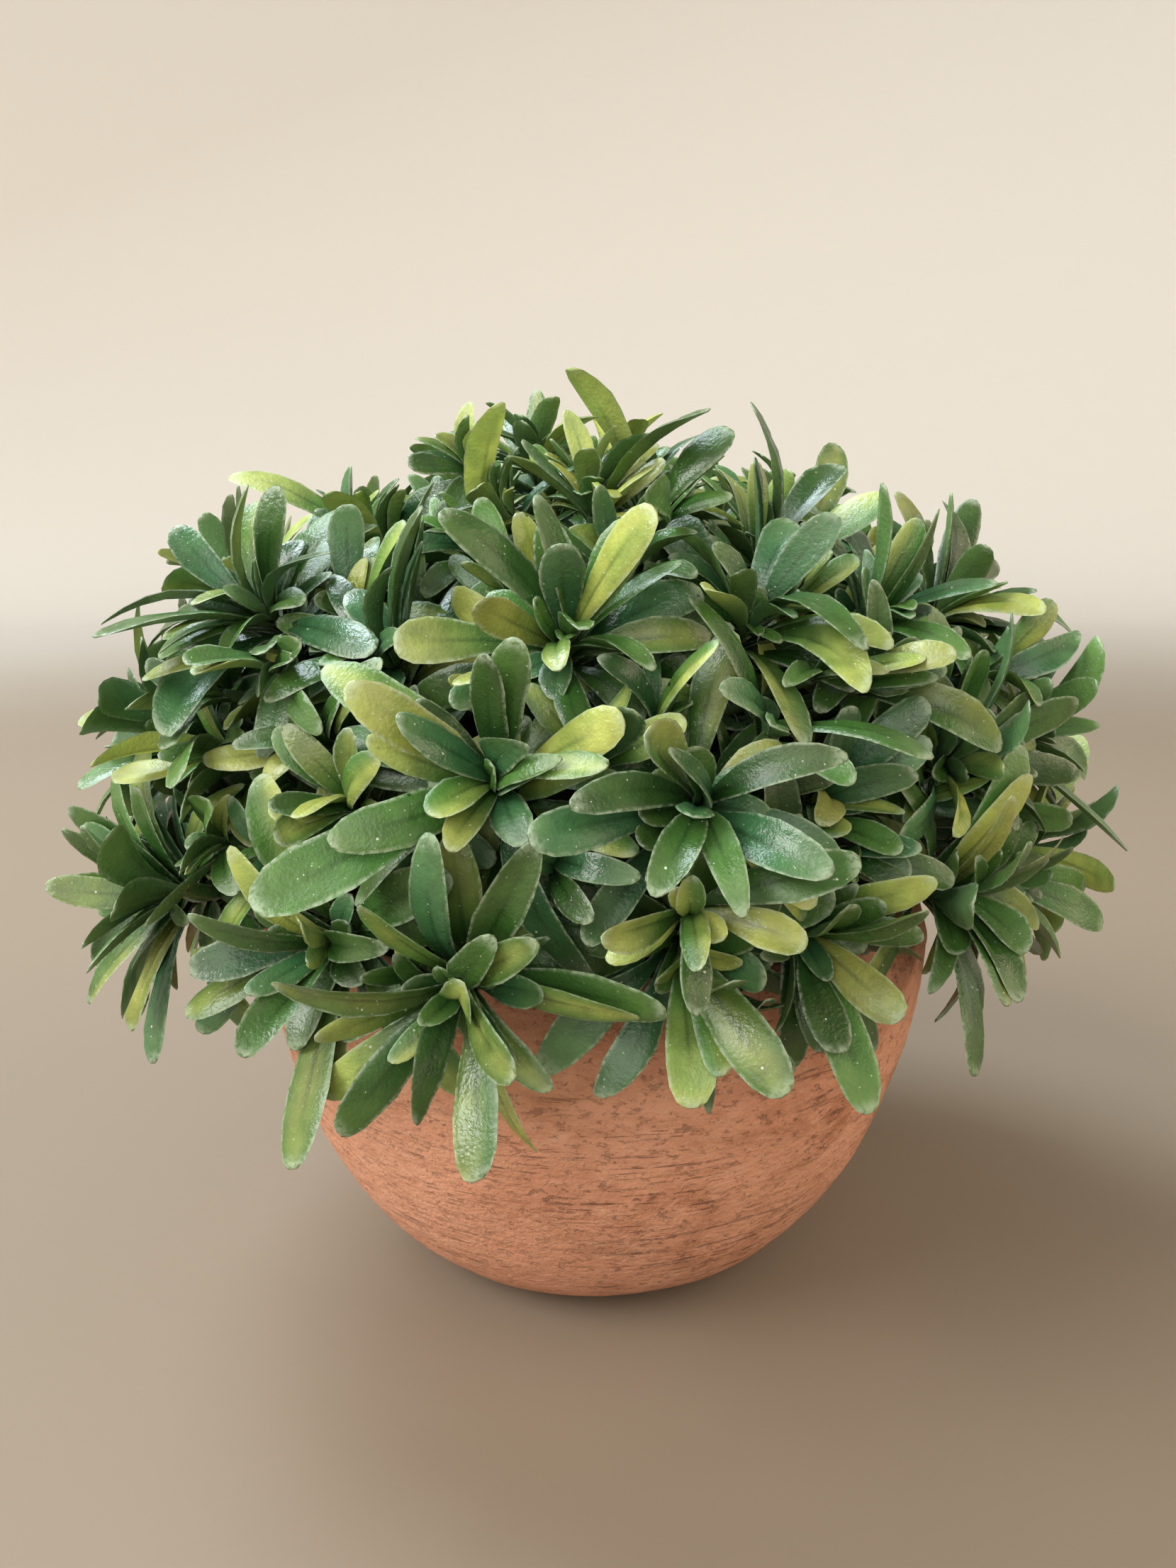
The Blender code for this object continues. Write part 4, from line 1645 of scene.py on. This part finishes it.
    def speckle(self, paint: Paint, colour: Socket) -> Socket:
        """Adds tiny painted glints, pale dots in the colour, and a few black specks.

        Args:
            paint: the finish's sheet.
            colour: the leaf's colour.

        Returns:
            The colour with its specks.
        """
        for specks in self.SPECKS:
            feeds = {"Vector": paint.place, "Scale": specks.cells}
            cells = paint.add("ShaderNodeTexVoronoi", feeds).outputs
            core = Step(specks.size * self.SPECK_CORE, specks.size, 1.0, 0.0)
            red = paint.add("ShaderNodeSeparateColor", {0: cells["Color"]}).outputs[0]
            picked = paint.math("GREATER_THAN", red, specks.rarity)
            share = paint.product(paint.step(cells["Distance"], core), picked, specks.strength)
            colour = paint.mix(share, colour, specks.tint)
        return colour


# ---------------------------------------------------------------- plain finishes


@dataclass(frozen=True)
class TwoTone:
    """A plain finish of two tones that blend in soft patches, with a bumpy grain."""

    name: str
    dark: Colour
    light: Colour
    roughness: float
    specular: float
    tones: Cloud
    grain: Cloud
    relief: float
    relief_strength: float

    BLEND = Step(0.35, 0.7)

    def dress(self) -> bpy.types.Material:
        """Mixes the finish.

        Returns:
            The finish.
        """
        paint = Paint(self.name, self.roughness, self.specular)
        colour = paint.mix(paint.step(paint.cloud(self.tones), self.BLEND), self.dark, self.light)
        normal = paint.bump(paint.cloud(self.grain), self.relief, self.relief_strength)
        return paint.finish(colour, normal=normal)


STEM_PLASTIC = TwoTone(
    "stem_plastic",
    dark=(0.045, 0.095, 0.035, 1.0),
    light=(0.085, 0.13, 0.045, 1.0),
    roughness=0.5,
    specular=0.5,
    tones=Cloud(140, 3),
    grain=Cloud(900, 3),
    relief=0.0002,
    relief_strength=0.5,
)
# Painted shade: the crown's inner body is near black, standing in for the deep shadow in the gaps between
# leaves.
CORE_PAINTED_SHADE = TwoTone(
    "core_green",
    dark=(0.003, 0.006, 0.002, 1.0),
    light=(0.008, 0.018, 0.005, 1.0),
    roughness=0.8,
    specular=0.2,
    tones=Cloud(120, 4),
    grain=Cloud(300, 4),
    relief=0.001,
    relief_strength=0.8,
)
DARK_FOAM = TwoTone(
    "dark_foam",
    dark=(0.022, 0.016, 0.011, 1.0),
    light=(0.060, 0.040, 0.025, 1.0),
    roughness=0.95,
    specular=0.1,
    tones=Cloud(500, 4),
    grain=Cloud(600, 5),
    relief=0.0008,
    relief_strength=0.9,
)


# ---------------------------------------------------------------- the crown


@dataclass
class Crown:
    """The crown as it is seen: leaves joined by cut and finish, their twigs, and the body inside, painted
    near black as shade.
    """

    rule: CrownRule
    paints: tuple[LeafPaint, ...] = (
        LeafPaint("leaf_deep_green", 0.24, (0.023, 0.078, 0.014)),
        LeafPaint("leaf_green", 0.26, (0.047, 0.130, 0.026)),
        LeafPaint("leaf_cool_green", 0.17, (0.032, 0.108, 0.041), roughness=0.22),
        LeafPaint("leaf_lime_tip", 0.11, (0.054, 0.138, 0.026), flush=Flush.TIP, painted_back_glow=0.8),
        LeafPaint("leaf_lime_side", 0.08, (0.056, 0.142, 0.026), flush=Flush.SIDE, painted_back_glow=0.8),
        LeafPaint("leaf_lime_ridge", 0.07, (0.061, 0.148, 0.028), (0.245, 0.310, 0.070), Flush.RIDGE, 0.85),
        LeafPaint(
            "leaf_yellow", 0.07, (0.11, 0.20, 0.035), (0.302, 0.340, 0.072), Flush.WHOLE, 1.0, painted_back_glow=1.4
        ),
    )
    # The first few finishes are plain greens; a head leans to one finish, and its small leaves to green.
    plain_greens: int = 3
    favourite_share: float = 0.22
    green_hearts: float = 0.55
    twig_root: float = 0.0013
    twig_tip: float = 0.0009
    twig_sides: int = 8
    twig_steps: int = 6
    twig_bow: float = 0.004
    twig_reach: float = 0.002
    ball_head: float = 0.007
    core_cuts: int = 5
    core_lumps: float = 0.07
    core_lump_size: float = 0.009
    core_octaves: tuple[float, float, int] = (0.9, 2.0, 3)

    def choose(self, leaves: list[Leaf]) -> dict[tuple[str, Cut], list[Leaf]]:
        """Deals a finish to each leaf.

        Args:
            leaves: all the crown's leaves.

        Returns:
            The leaves of each finish and cut.
        """
        kinds = [paint.name for paint in self.paints]
        shares = [paint.share for paint in self.paints]
        dealt: dict[tuple[str, Cut], list[Leaf]] = {}
        rng = random.Random(SEED + 7)
        favourites: dict[int, str] = {}
        for leaf in leaves:
            favourite = favourites.setdefault(leaf.head, rng.choices(kinds, shares)[0])
            kind = favourite if rng.random() < self.favourite_share else rng.choices(kinds, shares)[0]
            if leaf.cut is Cut.SPOON and rng.random() < self.green_hearts:
                kind = rng.choice(kinds[: self.plain_greens])
            dealt.setdefault((leaf.finish or kind, leaf.cut), []).append(leaf)
        return dealt

    def build(self) -> None:
        """Builds the crown's pieces and sets them on the frame."""
        nodes = list(self.rule.masses())
        foliage = Foliage(self.rule)
        dealt = self.choose(foliage.grow())
        blanks = {
            Cut.BLADE: LeafBlank(Cut.BLADE, widest=0.70, neck=0.16, swell=1.9).build(),
            Cut.SPOON: LeafBlank(Cut.SPOON, widest=0.64, neck=0.20, swell=2.0).build(),
        }
        materials = {paint.name: paint.dress() for paint in self.paints}
        for kind, cut in sorted(dealt, key=lambda key: (key[0], key[1].value)):
            grower = LeafGrower(blanks[cut], materials[kind])
            settle(grower.build(dealt[kind, cut], f"{kind}_{cut.value}s"), "leaf_plastic", *nodes)
        for blank in blanks.values():
            bpy.data.objects.remove(blank)
        settle(self.twigs(foliage.heads + foliage.shoots), "leaf_plastic", *nodes)
        settle(self.core(), "leaf_plastic", *nodes)

    def twig_lines(self, heads: list[Head]) -> bpy.types.Object:
        """Draws a bowed line from the stem's ball head to each leaf head.

        Args:
            heads: every leaf head.

        Returns:
            The lines, with each point's radius as an attribute.
        """
        masses = self.rule.masses()
        points, edges, sizes = [], [], []
        for name, centre, axis in heads:
            start = self.rule.centre + masses[name] * (self.ball_head + GAP + self.twig_root)
            end = centre + axis * self.twig_reach
            bow = start.lerp(end, 0.5) + masses[name] * self.twig_bow
            for step in range(self.twig_steps + 1):
                share = step / self.twig_steps
                points.append(start.lerp(bow, share).lerp(bow.lerp(end, share), share))
                sizes.append(self.twig_root + (self.twig_tip - self.twig_root) * share)
                if step:
                    edges.append((len(points) - 2, len(points) - 1))
        mesh = mesh_of("twig_lines", points, [], edges)
        mesh.attributes.new("size", "FLOAT", "POINT").data.foreach_set("value", sizes)
        return link("twig_lines", mesh)

    def twigs(self, heads: list[Head]) -> bpy.types.Object:
        """Grows a round twig along each line, by Geometry Nodes.

        Args:
            heads: every leaf head.

        Returns:
            The twigs.
        """
        lines = self.twig_lines(heads)
        grower = Grower("twig_rule")
        sheet = grower.sheet
        material = grower.given("Material", "Material", STEM_PLASTIC.dress())
        sides = grower.given("Sides", "Int", self.twig_sides)
        ring = sheet.add("GeometryNodeCurvePrimitiveCircle", {"Resolution": sides, "Radius": 1.0}).outputs[0]
        curve = sheet.add("GeometryNodeMeshToCurve", {"Mesh": grower.geometry()}).outputs[0]
        feeds = {"Curve": curve, "Profile Curve": ring, "Scale": grower.read("size"), "Fill Caps": True}
        grower.close(sheet.add("GeometryNodeCurveToMesh", feeds).outputs[0], material)
        return grower.grow(lines, "twigs")

    def core(self) -> bpy.types.Object:
        """Shapes the body that the twigs come out of, painted near black as shade: the flattened ball,
        smaller, over the foam.

        Returns:
            The body.
        """
        form = bmesh.new()
        bmesh.ops.create_icosphere(form, subdivisions=self.core_cuts, radius=1.0)
        size = self.rule.core_share * Vector((self.rule.radius, self.rule.radius, self.rule.height))
        bmesh.ops.scale(form, vec=size, verts=form.verts)
        for vertex in form.verts:
            lump = noise.fractal(vertex.co / self.core_lump_size, *self.core_octaves)
            vertex.co *= 1 + self.core_lumps * lump
        bmesh.ops.translate(form, vec=self.rule.centre, verts=form.verts)
        base = (0, 0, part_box("foam_plug")[1].z + GAP)
        everything = form.verts[:] + form.edges[:] + form.faces[:]
        cut = bmesh.ops.bisect_plane(
            form, geom=everything, dist=1e-7, plane_co=base, plane_no=(0, 0, 1), clear_inner=True
        )
        rim = [item for item in cut["geom_cut"] if isinstance(item, bmesh.types.BMEdge)]
        bmesh.ops.holes_fill(form, edges=rim)
        bmesh.ops.recalc_face_normals(form, faces=form.faces)
        mesh = bpy.data.meshes.new("crown_core")
        form.to_mesh(mesh)
        form.free()
        mesh.shade_smooth()
        mesh.materials.append(CORE_PAINTED_SHADE.dress())
        return link("crown_core", mesh)


# ---------------------------------------------------------------- setting pieces on the frame


def settle(piece: bpy.types.Object, slot: str, *nodes: str) -> None:
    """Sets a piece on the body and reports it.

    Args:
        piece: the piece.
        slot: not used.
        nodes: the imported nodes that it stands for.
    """
    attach(piece, BODY)
    if nodes:
        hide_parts(*nodes)
    LOG.info("%s: %d faces", piece.name, len(piece.data.polygons))


def dress_node(node: str, material: bpy.types.Material) -> None:
    """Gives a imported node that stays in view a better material.

    Args:
        node: the node's name.
        material: the material.
    """
    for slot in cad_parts[node].material_slots:
        slot.link = "OBJECT"
        slot.material = material
    LOG.info("%s: dressed", node)


# ---------------------------------------------------------------- the studio


@dataclass(frozen=True)
class Lamp:
    """A square soft light: its place, side, power in watts and colour, and the point that it faces."""

    name: str
    place: tuple[float, float, float]
    side: float
    power: float
    colour: tuple[float, float, float]
    aim: tuple[float, float, float] = (0.0, 0.0, 0.07)

    def hang(self) -> None:
        """Hangs the lamp in the scene."""
        data = bpy.data.lights.new(self.name, "AREA")
        data.size, data.energy, data.color = self.side, self.power, self.colour
        lamp = bpy.data.objects.new(self.name, data)
        lamp.location = self.place
        lamp.rotation_euler = (Vector(self.aim) - Vector(self.place)).to_track_quat("-Z", "Y").to_euler()
        bpy.context.scene.collection.objects.link(lamp)


@dataclass
class Studio:
    """A plain pale floor that sweeps up into a plain wall all round, soft light and the camera."""

    camera_place: tuple[float, float, float] = (-0.0012, -0.2017, 0.1214)
    camera_pitch: float = 11.8
    focal_length: float = 27.67
    sensor_width: float = 36.0
    nearest: float = 0.01
    floor_radius: float = 1.5
    sweep_radius: float = 0.6
    sweep_steps: int = 16
    wall_height: float = 2.2
    sides: int = 96
    floor_colour: Colour = (0.240, 0.194, 0.145, 1.0)
    wall_colour: Colour = (0.74, 0.70, 0.635, 1.0)
    floor_to_wall: Step = Step(0.55, 1.9)
    sky: Colour = (0.90, 0.95, 1.0, 1.0)
    sky_strength: float = 0.17
    lamps: tuple[Lamp, ...] = (
        Lamp("key_window", (-1.35, -0.75, 1.25), 1.05, 38.0, (1.0, 0.985, 0.965)),
        Lamp("back_window", (-0.65, 0.35, 1.25), 0.6, 22.0, (0.80, 0.91, 1.0)),
        Lamp("warm_bounce", (1.25, -0.25, 0.75), 1.1, 8.5, (1.0, 0.78, 0.56)),
        Lamp("front_fill", (-0.20, -1.30, 0.85), 1.2, 9.5, (1.0, 0.97, 0.92)),
        Lamp("wall_wash", (0.0, 0.30, 1.9), 1.0, 5.0, (1.0, 0.98, 0.95), aim=(0.0, 2.0, 0.5)),
    )

    def build(self) -> None:
        """Makes the floor, the lights, the surroundings and the camera."""
        self.floor()
        for lamp in self.lamps:
            lamp.hang()
        world = bpy.data.worlds.new("soft_sky")
        world.use_nodes = True
        background = world.node_tree.nodes["Background"]
        background.inputs["Color"].default_value = self.sky
        background.inputs["Strength"].default_value = self.sky_strength
        bpy.context.scene.world = world
        bpy.context.scene.view_settings.view_transform = "Standard"
        self.camera()

    def floor(self) -> None:
        """Turns the pale floor and the wall that it sweeps up into, as one."""
        profile = [(0.0, 0.0), (self.floor_radius, 0.0)]
        for step in range(1, self.sweep_steps + 1):
            angle = math.pi / 2 * step / self.sweep_steps
            out = self.floor_radius + self.sweep_radius * math.sin(angle)
            profile.append((out, self.sweep_radius * (1 - math.cos(angle))))
        profile.append((profile[-1][0], self.wall_height))
        points, faces = [], []
        for radius, height in profile:
            for side in range(self.sides):
                turn = math.tau * side / self.sides
                points.append((radius * math.cos(turn), radius * math.sin(turn), height))
        for row in range(len(profile) - 1):
            for side in range(self.sides):
                a, b = row * self.sides + side, row * self.sides + (side + 1) % self.sides
                faces.append((a, a + self.sides, b + self.sides, b))
        mesh = mesh_of("floor", points, faces)
        mesh.shade_smooth()
        paint = Paint("floor_paint", 0.7, specular=0.15)
        away = paint.add("ShaderNodeVectorMath", {0: paint.place}, operation="LENGTH").outputs["Value"]
        colour = paint.mix(paint.step(away, self.floor_to_wall), self.floor_colour, self.wall_colour)
        mesh.materials.append(paint.finish(colour))
        link("floor", mesh)

    def camera(self) -> None:
        """Sets the camera close in front and a little above."""
        data = bpy.data.cameras.new("camera")
        data.lens, data.sensor_width = self.focal_length, self.sensor_width
        data.clip_start = self.nearest
        camera = bpy.data.objects.new("camera", data)
        camera.location = self.camera_place
        camera.rotation_euler = (math.radians(90 - self.camera_pitch), 0, 0)
        bpy.context.scene.collection.objects.link(camera)
        bpy.context.scene.camera = camera


def main() -> None:
    """Builds the plant and its studio."""
    logging.basicConfig(level=logging.INFO, format="%(name)s %(message)s")
    Studio().build()
    bowl = Bowl()
    pot = bowl.build()
    pot.data.materials.append(Terracotta().dress())
    settle(pot, "terracotta", "pot")
    dress_node("foam_plug", DARK_FOAM.dress())
    dress_node("stem", STEM_PLASTIC.dress())
    Crown(CrownRule(bowl)).build()


if __name__ == "__main__":
    main()
